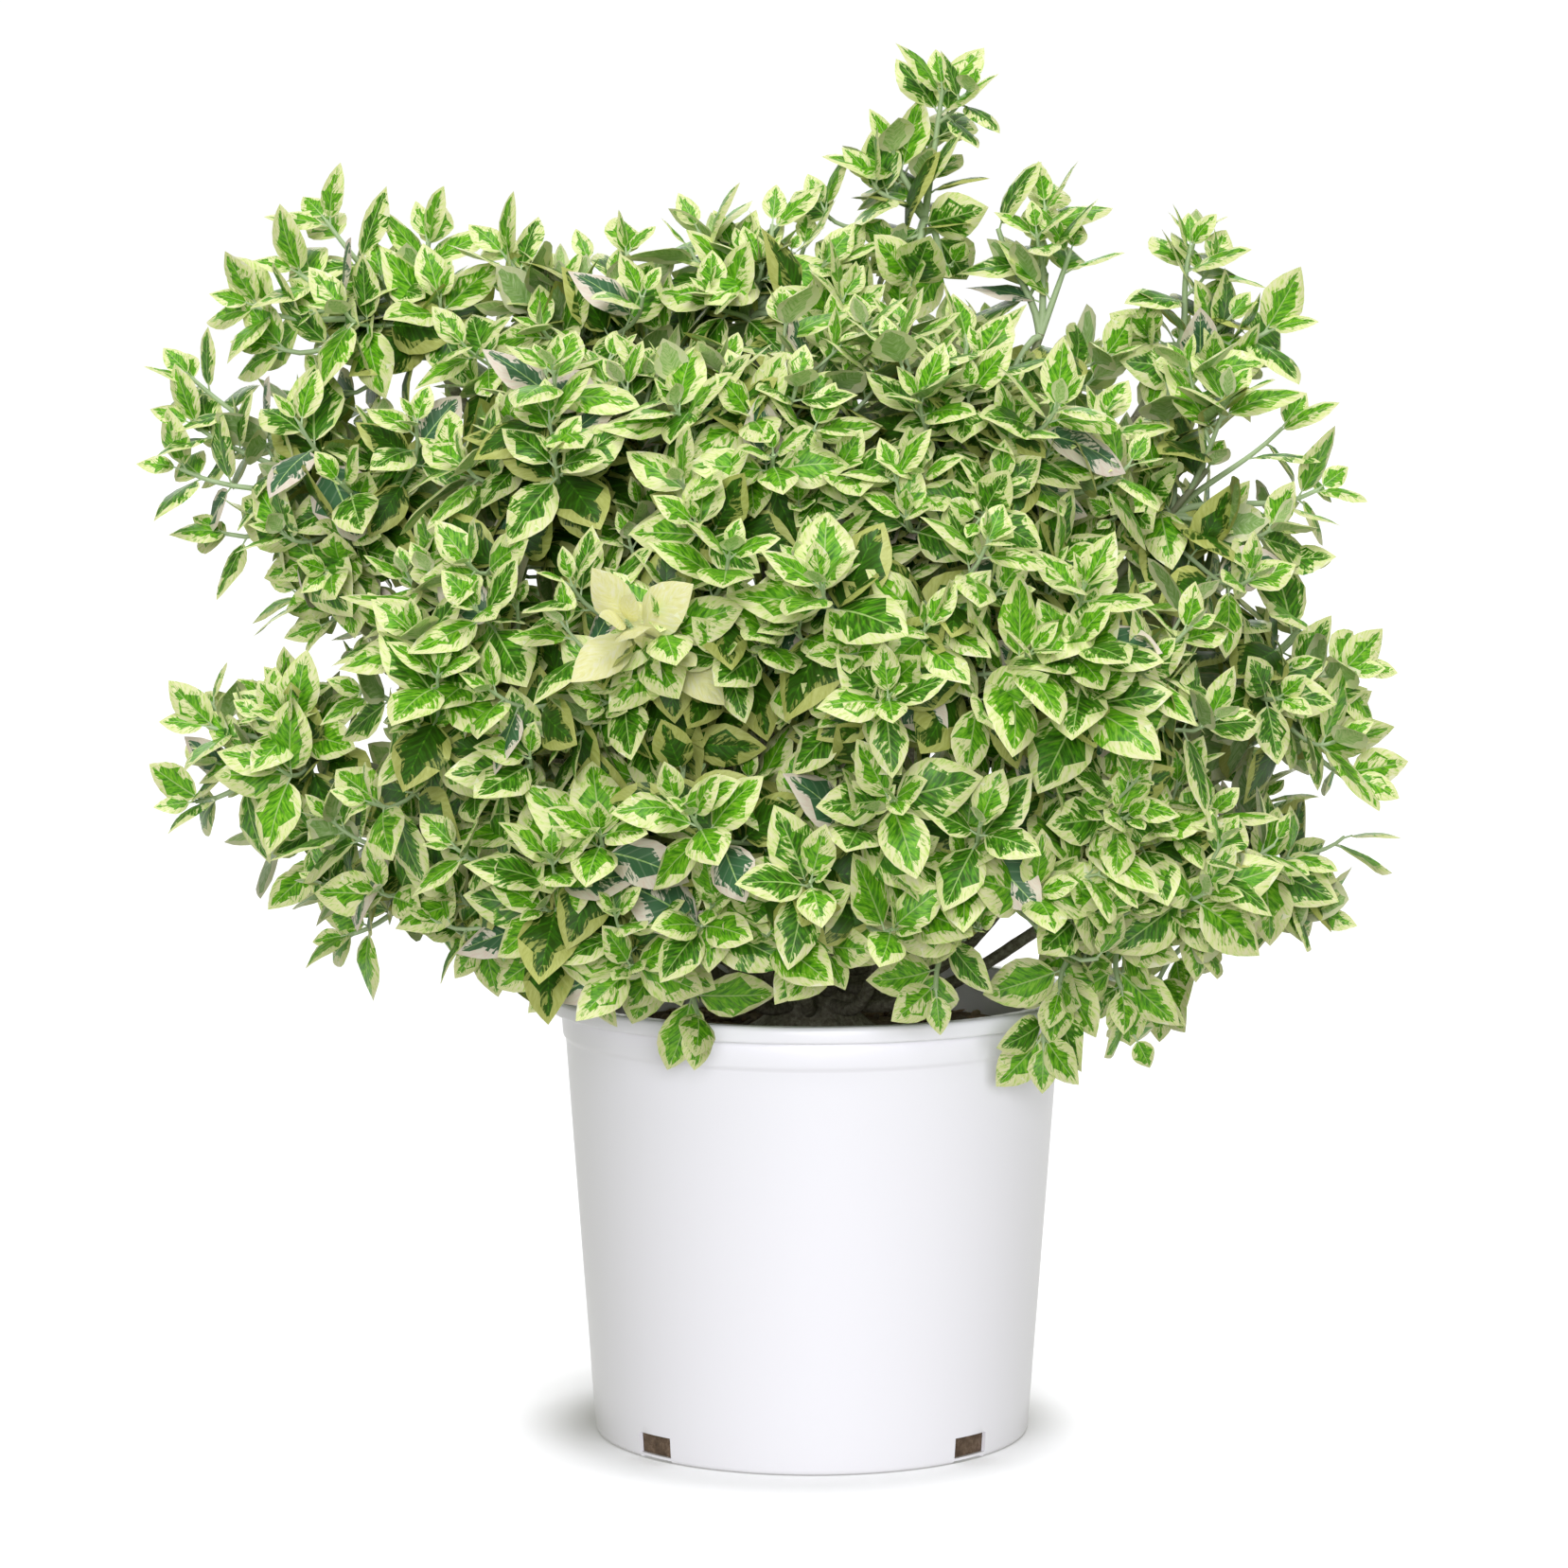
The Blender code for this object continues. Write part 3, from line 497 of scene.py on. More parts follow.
def make_material(name, colour, roughness):
    """A material in one colour. Returns it with its shader node."""
    material = bpy.data.materials.new(name)
    material.use_nodes = True
    shader = material.node_tree.nodes["Principled BSDF"]
    shader.inputs["Base Color"].default_value = (*colour, 1)
    shader.inputs["Roughness"].default_value = roughness
    return material, shader


def add_node(material, kind, values=None, **settings):
    """A node of a kind in a material or a world, with values for its inputs by name or number."""
    node = material.node_tree.nodes.new(kind)
    for name, setting in settings.items():
        setattr(node, name, setting)
    for name, value in (values or {}).items():
        node.inputs[name].default_value = value
    return node


def join(material, output, target):
    """Feeds a node's output into another node's input."""
    material.node_tree.links.new(output, target)


def add_math(material, operation, source, number=0.0):
    """An output worked out from another output and a number."""
    node = add_node(material, "ShaderNodeMath", {1: number}, operation=operation)
    join(material, source, node.inputs[0])
    return node.outputs[0]


def add_sum(material, first, first_weight, second, second_weight):
    """Two outputs added up with weights."""
    scaled = add_math(material, "MULTIPLY", second, second_weight)
    total = add_node(material, "ShaderNodeMath", {1: first_weight}, operation="MULTIPLY_ADD")
    join(material, first, total.inputs[0])
    join(material, scaled, total.inputs[2])
    return total.outputs[0]


def add_range(material, source, start, end):
    """An output spread from one range to another."""
    values = {"From Min": start[0], "From Max": start[1], "To Min": end[0], "To Max": end[1]}
    node = add_node(material, "ShaderNodeMapRange", values)
    join(material, source, node.inputs["Value"])
    return node.outputs["Result"]


def add_noise(material, scale, detail=3.0, roughness=0.5):
    """A noise pattern on the piece's own coordinates."""
    place = add_node(material, "ShaderNodeTexCoord")
    values = {"Scale": scale, "Detail": detail, "Roughness": roughness}
    pattern = add_node(material, "ShaderNodeTexNoise", values)
    join(material, place.outputs["Object"], pattern.inputs["Vector"])
    return pattern.outputs["Fac"]


def add_bump(material, shader, pattern, strength, distance):
    """Fine relief from a pattern."""
    bump = add_node(material, "ShaderNodeBump", {"Strength": strength, "Distance": distance})
    join(material, pattern, bump.inputs["Height"])
    join(material, bump.outputs["Normal"], shader.inputs["Normal"])


def add_gloss_range(material, shader, pattern, low, high):
    """Gloss that varies with a pattern between two roughness values."""
    join(material, add_range(material, pattern, (0.0, 1.0), (low, high)), shader.inputs["Roughness"])


def add_colours(material, shader, pattern, stops):
    """Colours that a pattern runs through: (position, colour) stops."""
    ramp = add_node(material, "ShaderNodeValToRGB")
    first, last = stops[0], stops[-1]
    ramp.color_ramp.elements[0].position = first[0]
    ramp.color_ramp.elements[0].color = (*first[1], 1)
    ramp.color_ramp.elements[1].position = last[0]
    ramp.color_ramp.elements[1].color = (*last[1], 1)
    for position, colour in stops[1:-1]:
        stop = ramp.color_ramp.elements.new(position)
        stop.color = (*colour, 1)
    join(material, pattern, ramp.inputs["Fac"])
    join(material, ramp.outputs["Color"], shader.inputs["Base Color"])
    return ramp.outputs["Color"]


def add_veins(material):
    """How near a leaf's side vein is, and a streaked pattern drawn out along the veins, on the leaf's map."""
    place = add_node(material, "ShaderNodeUVMap", uv_map="leaf_map")
    parts = add_node(material, "ShaderNodeSeparateXYZ")
    join(material, place.outputs["UV"], parts.inputs["Vector"])
    aside = add_math(material, "ABSOLUTE", parts.outputs["Y"])
    across_veins = add_sum(material, parts.outputs["X"], 1.0, aside, -VEIN_SLANT)
    repeated = add_math(material, "MULTIPLY", across_veins, VEIN_PAIRS)
    away = add_math(material, "PINGPONG", repeated, 0.5)
    vein = add_range(material, away, VEIN_WIDTHS, (1.0, 0.0))
    drawn_out = add_node(material, "ShaderNodeCombineXYZ")
    along_veins = add_math(material, "MULTIPLY", parts.outputs["Y"], STREAK_SHARE)
    join(material, across_veins, drawn_out.inputs["X"])
    join(material, along_veins, drawn_out.inputs["Y"])
    values = {"Scale": STREAK_SCALE, "Detail": 3.0, "Roughness": STREAK_ROUGHNESS}
    streaks = add_node(material, "ShaderNodeTexNoise", values)
    join(material, drawn_out.outputs["Vector"], streaks.inputs["Vector"])
    return vein, streaks.outputs["Fac"]


def plastic_material():
    """White moulded plastic with a faint satin grain."""
    material, shader = make_material("white_pot_plastic", (0.88, 0.875, 0.92), 0.32)
    add_bump(material, shader, add_noise(material, 900.0, 2.0), 0.06, 0.0002)
    add_gloss_range(material, shader, add_noise(material, 9.0, 0.0), 0.26, 0.38)
    return material


def soil_material(name, stops, scale):
    """Bark-based potting mix, or the chips in it."""
    material, shader = make_material(name, stops[0][1], 0.95)
    pattern = add_noise(material, scale, 5.0, 0.7)
    add_colours(material, shader, pattern, stops)
    add_bump(material, shader, pattern, 0.6, 0.002)
    return material


def bark_material():
    """Grey-brown bark with pale specks."""
    stops = ((0.30, (0.13, 0.11, 0.08)), (0.50, (0.27, 0.25, 0.19)), (0.68, (0.45, 0.44, 0.36)))
    material, shader = make_material("grey_bark", stops[0][1], 0.85)
    pattern = add_noise(material, 420.0, 6.0, 0.65)
    add_colours(material, shader, pattern, stops)
    add_bump(material, shader, pattern, 0.9, 0.0006)
    return material


def twig_material(name, colour, roughness, strength, distance):
    """The skin of a young twig or a leaf stalk, with a fine grain."""
    material, shader = make_material(name, colour, roughness)
    add_bump(material, shader, add_noise(material, 500.0), strength, distance)
    return material


def leaf_material(name, vein_colour, stops):
    """Leathery leaf skin: colours streaked along the veins, pale sunk veins and an uneven gloss."""
    material, shader = make_material(name, stops[-1][1], 0.42)
    shader.inputs["Specular IOR Level"].default_value = 0.30
    vein, streaks = add_veins(material)
    colours = add_colours(material, shader, streaks, stops)
    if vein_colour:
        veined = add_node(material, "ShaderNodeMix", data_type="RGBA")
        veined.inputs["B"].default_value = (*vein_colour, 1)
        join(material, add_math(material, "MULTIPLY", vein, VEIN_STRENGTH), veined.inputs["Factor"])
        join(material, colours, veined.inputs["A"])
        join(material, veined.outputs["Result"], shader.inputs["Base Color"])
    relief = add_sum(material, add_noise(material, 420.0, 2.0), 0.5, vein, -0.35)
    add_bump(material, shader, relief, 0.30, 0.0005)
    add_gloss_range(material, shader, add_noise(material, 60.0, 2.0), 0.28, 0.56)
    return material


# Modelling helpers.

def deselect_all():
    """Leaves nothing selected, so that the next operator acts only on its own piece."""
    if bpy.context.object and bpy.context.object.mode != "OBJECT":
        bpy.ops.object.mode_set(mode="OBJECT")
    bpy.ops.object.select_all(action="DESELECT")


def settle(piece):
    """Puts a piece's place into its mesh, so that its object sits at the origin."""
    deselect_all()
    piece.select_set(True)
    bpy.context.view_layer.objects.active = piece
    bpy.ops.object.transform_apply(location=True, rotation=True, scale=True)


def apply_modifiers(piece):
    """Applies every modifier of a piece, in order."""
    deselect_all()
    piece.select_set(True)
    bpy.context.view_layer.objects.active = piece
    for modifier in list(piece.modifiers):
        bpy.ops.object.modifier_apply(modifier=modifier.name)


def smooth(piece, degrees):
    """Smooth shading, except over edges sharper than an angle."""
    deselect_all()
    piece.select_set(True)
    bpy.context.view_layer.objects.active = piece
    bpy.ops.object.shade_smooth_by_angle(angle=math.radians(degrees))


def finish(piece, material, degrees):
    """Gives a piece its one material and its smooth shading."""
    piece.data.materials.clear()
    piece.data.materials.append(material)
    smooth(piece, degrees)


def turned_piece(name, rings, sides):
    """A closed turned piece: a circle pulled up and scaled from ring to ring, then closed at both ends."""
    deselect_all()
    radius, height = rings[0]
    bpy.ops.mesh.primitive_circle_add(
        vertices=sides, radius=radius, fill_type="NGON", location=(0, 0, height)
    )
    piece = bpy.context.object
    piece.name = name
    bpy.ops.object.mode_set(mode="EDIT")
    bpy.ops.mesh.select_all(action="SELECT")
    for next_radius, next_height in rings[1:]:
        bpy.ops.mesh.extrude_region_move(TRANSFORM_OT_translate={"value": (0, 0, next_height - height)})
        grow = next_radius / radius
        bpy.ops.transform.resize(value=(grow, grow, 1), center_override=(0, 0, next_height))
        radius = next_radius
        height = next_height
    bpy.ops.mesh.select_all(action="SELECT")
    bpy.ops.mesh.normals_make_consistent(inside=False)
    bpy.ops.object.mode_set(mode="OBJECT")
    settle(piece)
    return piece


def rounding(middle, radius, first, last, steps):
    """Ring sizes round a quarter or half circle in the wall's section, by angles in degrees."""
    rings = []
    for step in range(steps + 1):
        angle = math.radians(first + (last - first) * step / steps)
        rings.append((middle[0] + radius * math.cos(angle), middle[1] + radius * math.sin(angle)))
    return rings


def wall_radius(height):
    """Outer radius of the pot's plain wall at a height."""
    band_foot = POT_HEIGHT - LIP_HEIGHT - BAND_HEIGHT
    return FOOT_RADIUS + (WALL_TOP_RADIUS - FOOT_RADIUS) * min(1.0, height / band_foot)


def cutting_box(angle, radii, heights, width):
    """A box across the pot's wall for cutting with, at an angle round it."""
    deselect_all()
    bpy.ops.mesh.primitive_cube_add(size=1)
    box = bpy.context.object
    outward = Vector((math.sin(angle), -math.cos(angle), 0))
    middle = outward * (sum(radii) / 2) + UP * (sum(heights) / 2)
    size = Matrix.Diagonal((width, radii[1] - radii[0], heights[1] - heights[0], 1))
    box.data.transform(Matrix.Translation(middle) @ Matrix.Rotation(angle, 4, "Z") @ size)
    return box


def cut_with(piece, cutter):
    """Cuts a box out of a piece, and removes the box."""
    cut = piece.modifiers.new("cut", "BOOLEAN")
    cut.operation = "DIFFERENCE"
    cut.solver = "EXACT"
    cut.object = cutter
    apply_modifiers(piece)
    bpy.data.objects.remove(cutter)


def make_pot(material):
    """The white pot: rounded foot, plain wall, band, turned-out lip and drain holes."""
    lip_foot = POT_HEIGHT - LIP_HEIGHT
    band_foot = lip_foot - BAND_HEIGHT
    inner_lip = BAND_RADIUS - WALL
    rings = [(0.020, 0.0), (0.080, 0.0), (0.1085, 0.0)]
    rings += [(FOOT_RADIUS - 0.0026, 0.0), (FOOT_RADIUS - 0.0014, 0.0002), (FOOT_RADIUS - 0.0006, 0.0007)]
    rings += [(FOOT_RADIUS - 0.0001, 0.0014)]
    for height in (DRAIN_LOW, 0.0080, DRAIN_HIGH, 0.0180, 0.060, 0.110, 0.160, 0.200):
        rings.append((wall_radius(height), height))
    rings += [
        (wall_radius(band_foot - 0.0016), band_foot - 0.0016),
        (WALL_TOP_RADIUS + 0.0001, band_foot - 0.0008),
        (WALL_TOP_RADIUS + 0.0006, band_foot),
        (WALL_TOP_RADIUS + 0.0012, band_foot + 0.0008),
        (WALL_TOP_RADIUS + 0.0015, band_foot + 0.0020),
        (BAND_RADIUS - 0.0005, lip_foot - 0.0022),
        (BAND_RADIUS - 0.0007, lip_foot - 0.0010),
        (BAND_RADIUS - 0.0007, lip_foot - 0.0002),
        (BAND_RADIUS, lip_foot + 0.0004),
        (BAND_RADIUS + 0.0010, lip_foot + 0.0005),
    ]
    rings += rounding((RIM_RADIUS - 0.0016, lip_foot + 0.0021), 0.0016, -90, 0, 5)
    rings += rounding((RIM_RADIUS - 0.0026, POT_HEIGHT - 0.0026), 0.0026, 0, 90, 6)
    rings += rounding((inner_lip + 0.0022, POT_HEIGHT - 0.0022), 0.0022, 90, 180, 5)
    rings += [(inner_lip, lip_foot), (wall_radius(band_foot) - WALL, band_foot - 0.002)]
    for height in (0.0180, DRAIN_HIGH, DRAIN_LOW, FLOOR):
        rings.append((wall_radius(height) - WALL, height))
    rings += [(0.080, FLOOR), (0.020, FLOOR)]
    pot = turned_piece("nursery_pot", rings, POT_SIDES)
    for number in range(DRAIN_HOLES):
        angle = math.radians(45 + number * 360 / DRAIN_HOLES)
        cut_with(pot, cutting_box(angle, DRAIN_RADII, (DRAIN_LOW, DRAIN_HIGH), DRAIN_WIDTH))
        cut_with(pot, cutting_box(angle, NOTCH_RADII, NOTCH_HEIGHTS, DRAIN_WIDTH))
    edge = pot.modifiers.new("edge", "BEVEL")
    edge.width = POT_EDGE
    edge.segments = 2
    edge.limit_method = "ANGLE"
    edge.angle_limit = math.radians(60)
    apply_modifiers(pot)
    finish(pot, material, 35)
    return pot


def make_soil(material):
    """The potting mix: the solid's own shape with a crumbly top."""
    inset = WALL + GAP
    low = FLOOR + GAP
    rings = [(0.020, low), (wall_radius(low) - inset, low), (wall_radius(0.1) - inset, 0.1)]
    edge_radius = wall_radius(SOIL_TOP) - inset
    rings.append((edge_radius, SOIL_TOP - SOIL_SLOPE))
    for step in range(1, SOIL_TOP_RINGS + 1):
        share = 1 - step / (SOIL_TOP_RINGS + 1)
        rings.append((edge_radius * share, SOIL_TOP - SOIL_SLOPE * share ** 1.5))
    soil = turned_piece("potting_mix_crumb", rings, SOIL_SIDES)
    for vert in soil.data.vertices:
        from_axis = math.hypot(vert.co.x, vert.co.y)
        if vert.co.z > SOIL_TOP - SOIL_SLOPE - 0.001 and from_axis < edge_radius - 0.0005:
            lumps = sum(noise.noise(vert.co * scale) * height for scale, height in SOIL_LUMPS)
            vert.co.z += lumps - SOIL_SETTLED
    finish(soil, material, 60)
    return soil


def make_chips(materials):
    """Loose bark chips lying on the potting mix."""
    rng = random.Random("bark chips")
    chips = Tubes()
    edge_radius = WALL_TOP_RADIUS - WALL - CHIP_EDGE_GAP
    stem_foot = STEM_RINGS[0][1] * CLEAR_OF_FLARE
    for _ in range(CHIPS):
        from_axis = stem_foot + (edge_radius - stem_foot) * math.sqrt(rng.random())
        angle = rng.uniform(0, 2 * math.pi)
        heading = rng.uniform(0, math.pi)
        way = Vector((math.cos(heading), math.sin(heading), rng.uniform(-CHIP_TILT, CHIP_TILT)))
        half = way * rng.uniform(*CHIP_HALF_LENGTHS)
        fall = SOIL_SLOPE * (from_axis / edge_radius) ** 1.5
        height = SOIL_TOP - fall + rng.uniform(*CHIP_HEIGHTS)
        middle = Vector((math.cos(angle) * from_axis, math.sin(angle) * from_axis, height))
        thick = rng.uniform(*CHIP_RADII)
        line = [middle - half, middle - half * 0.6, middle + half * 0.5, middle + half]
        radii = [thick * 0.4, thick, thick * 0.9, thick * 0.3]
        chips.add(line, radii, CHIP_SIDES, rng.randrange(len(materials)))
    return chips.piece("bark_chips", materials)


def stem_middle(height):
    """Middle of the leaning stem at a height above its foot."""
    return STEM_LEAN * (height / STEM_HEIGHT) + UP * (SOIL_TOP + GAP + height)


def stem_size(height):
    """(radius, lobe) of the stem at a height above its foot."""
    for (low, first, first_lobe), (high, second, second_lobe) in zip(STEM_RINGS, STEM_RINGS[1:]):
        if height <= high:
            share = (height - low) / (high - low)
            return first + (second - first) * share, first_lobe + (second_lobe - first_lobe) * share
    return STEM_RINGS[-1][1], STEM_RINGS[-1][2]


def make_stem(material):
    """The short stem with furrowed bark."""
    rings = [(0.006, SOIL_TOP + GAP)]
    for step in range(STEM_STEPS + 1):
        height = STEM_HEIGHT * step / STEM_STEPS
        rings.append((stem_size(height)[0], SOIL_TOP + GAP + height))
    for share in (0.85, 0.6, 0.3, 0.1):
        rings.append((STEM_RINGS[-1][1] * share, SOIL_TOP + GAP + STEM_HEIGHT))
    stem = turned_piece("woody_stem", rings, STEM_SIDES)
    for vert in stem.data.vertices:
        height = vert.co.z - SOIL_TOP - GAP
        angle = math.atan2(vert.co.y, vert.co.x)
        from_axis = math.hypot(vert.co.x, vert.co.y)
        lobe = stem_size(max(0.0, height))[1] * math.cos(FLARE_LOBES * angle)
        furrow = abs(noise.noise(Vector((math.cos(angle) * 2.6, math.sin(angle) * 2.6, vert.co.z * 28))))
        knobs = noise.noise(vert.co * 110)
        relief = STEM_KNOBS * knobs - STEM_FURROWS * furrow + 0.01
        grow = 1 + lobe + relief * min(1.0, from_axis / 0.02)
        lean = STEM_LEAN * (height / STEM_HEIGHT)
        vert.co = Vector((vert.co.x * grow + lean.x, vert.co.y * grow + lean.y, vert.co.z))
    finish(stem, material, 70)
    return stem


# Growth: the space that limbs keep to, and the boughs.

def in_opening(point):
    """True if the camera sees a point in one of the crown's openings."""
    share = CAMERA_PLACE[1] / (CAMERA_PLACE[1] - point[1])
    seen_x = CAMERA_PLACE[0] + (point[0] - CAMERA_PLACE[0]) * share
    seen_z = CAMERA_PLACE[2] + (point[2] - CAMERA_PLACE[2]) * share
    return any(math.hypot(seen_x - x, seen_z - z) < radius for x, z, radius in OPENINGS)


class Mass:
    """One mass of foliage: the space that it keeps to, and the way that it grows."""

    def __init__(self, name, middle, radius, leaders):
        self.name = name
        self.middle = Vector(middle)
        self.radius = radius
        self.leaders = [Vector(tip) for tip in (*leaders, *SPRIGS.get(name, ())) if not in_opening(tip)]
        self.fullness = FULLNESS.get(name, 1.0)
        self.lowest = LOWEST.get(name, 0.0)
        self.lead = ((self.middle - CROWN_HEART).normalized() + LIFT * UP).normalized()
        self.approach = (self.middle - BOUGH_HEART).normalized()
        self.entry = self.middle - self.approach * (ENTRY_DEPTH * radius)


MASS_LIST = [Mass(*row) for row in MASSES]
MIDDLES = np.array([mass.middle for mass in MASS_LIST])
RADII = np.array([mass.radius for mass in MASS_LIST])
WEIGHTS = np.array([mass.fullness for mass in MASS_LIST])


def keeps_to(number, points, overlap):
    """True if every point lies nearer to this mass than to any other, but for a small overlap."""
    away = np.linalg.norm(points[:, None, :] - MIDDLES[None], axis=2) / RADII[None]
    own = away[:, number].copy()
    away[:, number] = np.inf
    return bool(np.all(own < away.min(axis=1) + overlap))


def in_hull(point, least):
    """True if a point lies inside the crown's own rounded surface, which spans the gaps between masses."""
    away = np.linalg.norm(np.array(point) - MIDDLES, axis=1) / (2 * RADII)
    return float(np.sum(WEIGHTS * np.clip(1 - away ** 2, 0, None) ** 2)) > least


def clear_of_pot(points):
    """True if every point is above the rim, outside the lip, or inside the wall and over the potting mix."""
    from_axis = np.hypot(points[:, 0], points[:, 1])
    above = points[:, 2] > POT_HEIGHT + POT_CLEARANCE
    outside = from_axis > RIM_RADIUS + POT_CLEARANCE
    inside = (from_axis < WALL_TOP_RADIUS - WALL - POT_CLEARANCE) & (points[:, 2] > SOIL_TOP + POT_CLEARANCE)
    return bool(np.all(above | outside | inside))


def bent_line(start, start_way, end, end_way, count):
    """Points of a smooth line that leaves start along start_way and reaches end along end_way."""
    reach = (end - start).length / 3
    corners = (start, start + start_way * reach, end - end_way * reach, end)
    line = []
    for step in range(count):
        t = step / (count - 1)
        weights = ((1 - t) ** 3, 3 * t * (1 - t) ** 2, 3 * t * t * (1 - t), t ** 3)
        line.append(sum((corner * weight for corner, weight in zip(corners, weights)), Vector()))
    return line


def line_length(line):
    """Length of a line of points."""
    return sum((second - first).length for first, second in zip(line, line[1:]))


def point_along(line, share):
    """(point, direction) at a share of the way along a line of points."""
    place = share * (len(line) - 1)
    step = max(0, min(int(place), len(line) - 2))
    way = line[step + 1] - line[step]
    return line[step] + way * (place - step), way.normalized()


def bough_lines():
    """One line for each mass: off the stem's side for a low mass, off its flat top for a high one."""
    highest = ROWS[-1][1]
    on_top = sorted(
        (mass for mass in MASS_LIST if mass.middle.z >= highest),
        key=lambda mass: math.atan2(mass.middle.x, -mass.middle.y) % (2 * math.pi),
    )
    lines = []
    for mass in MASS_LIST:
        if mass in on_top:
            angle = 2 * math.pi * on_top.index(mass) / len(on_top)
            outward = Vector((math.sin(angle), -math.cos(angle), 0))
            foot = stem_middle(STEM_HEIGHT) + outward * TOP_RING_RADIUS
            way = UP
        else:
            height = next(height for height, limit in ROWS if mass.middle.z < limit)
            way = Vector((mass.middle.x, mass.middle.y, 0)).normalized()
            foot = stem_middle(height) + way * stem_size(height)[0]
        turn_out = foot + way * STRAIGHT_END
        turn_in = mass.entry - mass.approach * STRAIGHT_END
        start = foot - way * BOUGH_SUNK
        bend = bent_line(turn_out, way, turn_in, mass.approach, BOUGH_POINTS)
        lines.append([start, *bend, mass.entry])
    return lines


# Growth: the shoots and twigs of a mass.

def shoot_to(stem, share, tip, lift, leaf_reach):
    """A shoot's line: it leaves a stem at a share of its length, turns out and up, and ends where its last
    leaves reach the tip."""
    start, stem_way = point_along(stem, share)
    straight = (tip - start).normalized()
    outward = (tip - CROWN_HEART).normalized()
    leaving = (straight + stem_way * 0.5).normalized()
    arriving = (straight * 0.5 + outward * 0.5 + UP * lift).normalized()
    end = tip - arriving * leaf_reach
    return bent_line(start, leaving, end, arriving, SHOOT_POINTS)


@dataclass
class Shoot:
    """A shoot: its line, its radii at both ends, the turn of its leaf pairs, the kind and vigour of its
    leaves, and the shoot that bears it, with its foot's place there. Its use is the share of its line that
    bears something. Its order is 0 for a mass's stem, 1 for a shoot on the stem and 2 for a fine twig."""

    line: list
    radii: tuple
    turn: float
    kind: str
    order: int
    vigour: float = 1.0
    long: bool = False
    bearer: object = None
    foot: float = 0.0
    use: float = 0.0


def spray_kind(rng):
    """The kind of leaves that a spray wears."""
    draw = rng.random()
    if draw < BRIGHT_ODDS:
        return "bright"
    if draw < BRIGHT_ODDS + GREEN_ODDS:
        return "green"
    return "light"


def long_shoots(mass, stem, rng):
    """The shoots that end at the mass's own tips."""
    shoots = []
    for tip in mass.leaders:
        line = shoot_to(stem.line, LEADER_FOOT, tip, LEADER_LIFT, LONG_TIP_REACH)
        turn = rng.uniform(0, math.pi)
        kind = spray_kind(rng)
        if tip == Vector(PALE_SPRAY):
            kind = "new"
        shoots.append(Shoot(line, LONG_RADII, turn, kind, 1, LONG_VIGOUR, True, stem, LEADER_FOOT))
    return shoots


def side_shoots(number, mass, stem, rng):
    """Shoots round the stem by the golden turn, each ending as far out as the crown's surface and the mass's
    own space let it."""
    shoots = []
    sideways = mass.lead.orthogonal().normalized()
    full_size = max(1.0, mass.radius / USUAL_RADIUS) ** MORE_FOR_LARGE
    count = round(SHOOTS * (OPEN_MASS_SHARE + (1 - OPEN_MASS_SHARE) * mass.fullness) * full_size)
    for step in range(count):
        share = (step + 0.5) / count
        angle = WIDEST_ANGLE + (CLOSEST_ANGLE - WIDEST_ANGLE) * share
        way = mass.lead * math.cos(angle) + sideways * math.sin(angle)
        turn_round = step * GOLDEN_TURN + rng.uniform(-TURN_SPREAD, TURN_SPREAD)
        way = Matrix.Rotation(turn_round, 3, mass.lead) @ way
        least = HULL + rng.uniform(-HULL_SPREAD, HULL_SPREAD)
        foot = SIDE_FOOT + SIDE_FOOT_SPREAD * share
        for reach in REACHES_TRIED:
            tip = mass.middle + way * (mass.radius * reach)
            if not in_hull(tip, least) or in_opening(tip):
                continue
            line = shoot_to(stem.line, foot, tip, SIDE_LIFT, TIP_REACH)
            samples = np.array([*line[2:], tip])
            if clear_of_pot(samples) and keeps_to(number, samples, CELL_OVERLAP):
                turn = rng.uniform(0, math.pi)
                kind = spray_kind(rng)
                shoots.append(Shoot(line, SIDE_RADII, turn, kind, 1, bearer=stem, foot=foot))
                break
    return shoots


def fine_twigs(number, shoot, rng):
    """The short twigs that a shoot bears."""
    twigs = []
    length = line_length(shoot.line)
    skipped = LONG_FINE_SKIPPED if shoot.long else FINE_SKIPPED
    for foot in FINE_FEET:
        if length * (1 - foot) < LEAST_PAST_FOOT or rng.random() < skipped:
            continue
        start, way = point_along(shoot.line, foot)
        turn = rng.uniform(0, 2 * math.pi)
        side = Matrix.Rotation(turn, 3, way) @ way.orthogonal().normalized()
        leaving = (way * 0.75 + side).normalized()
        arriving = (way * 0.6 + side * 0.6 + UP * FINE_LIFT).normalized()
        reach = rng.uniform(*(LONG_FINE_LENGTHS if shoot.long else FINE_LENGTHS))
        end = start + (leaving + arriving).normalized() * reach
        line = bent_line(start, leaving, end, arriving, FINE_POINTS)
        tip = end + arriving * TIP_REACH
        samples = np.array([line[FINE_POINTS // 2], line[-1], tip])
        inside = shoot.long or (in_hull(tip, HULL) and not in_opening(tip))
        if inside and clear_of_pot(samples) and keeps_to(number, samples, CELL_OVERLAP):
            kind = shoot.kind if rng.random() < SAME_KIND_ODDS else spray_kind(rng)
            vigour = LONG_FINE_VIGOUR if shoot.long else FINE_VIGOUR
            twigs.append(Shoot(line, FINE_RADII, turn, kind, 2, vigour, bearer=shoot, foot=foot))
    return twigs


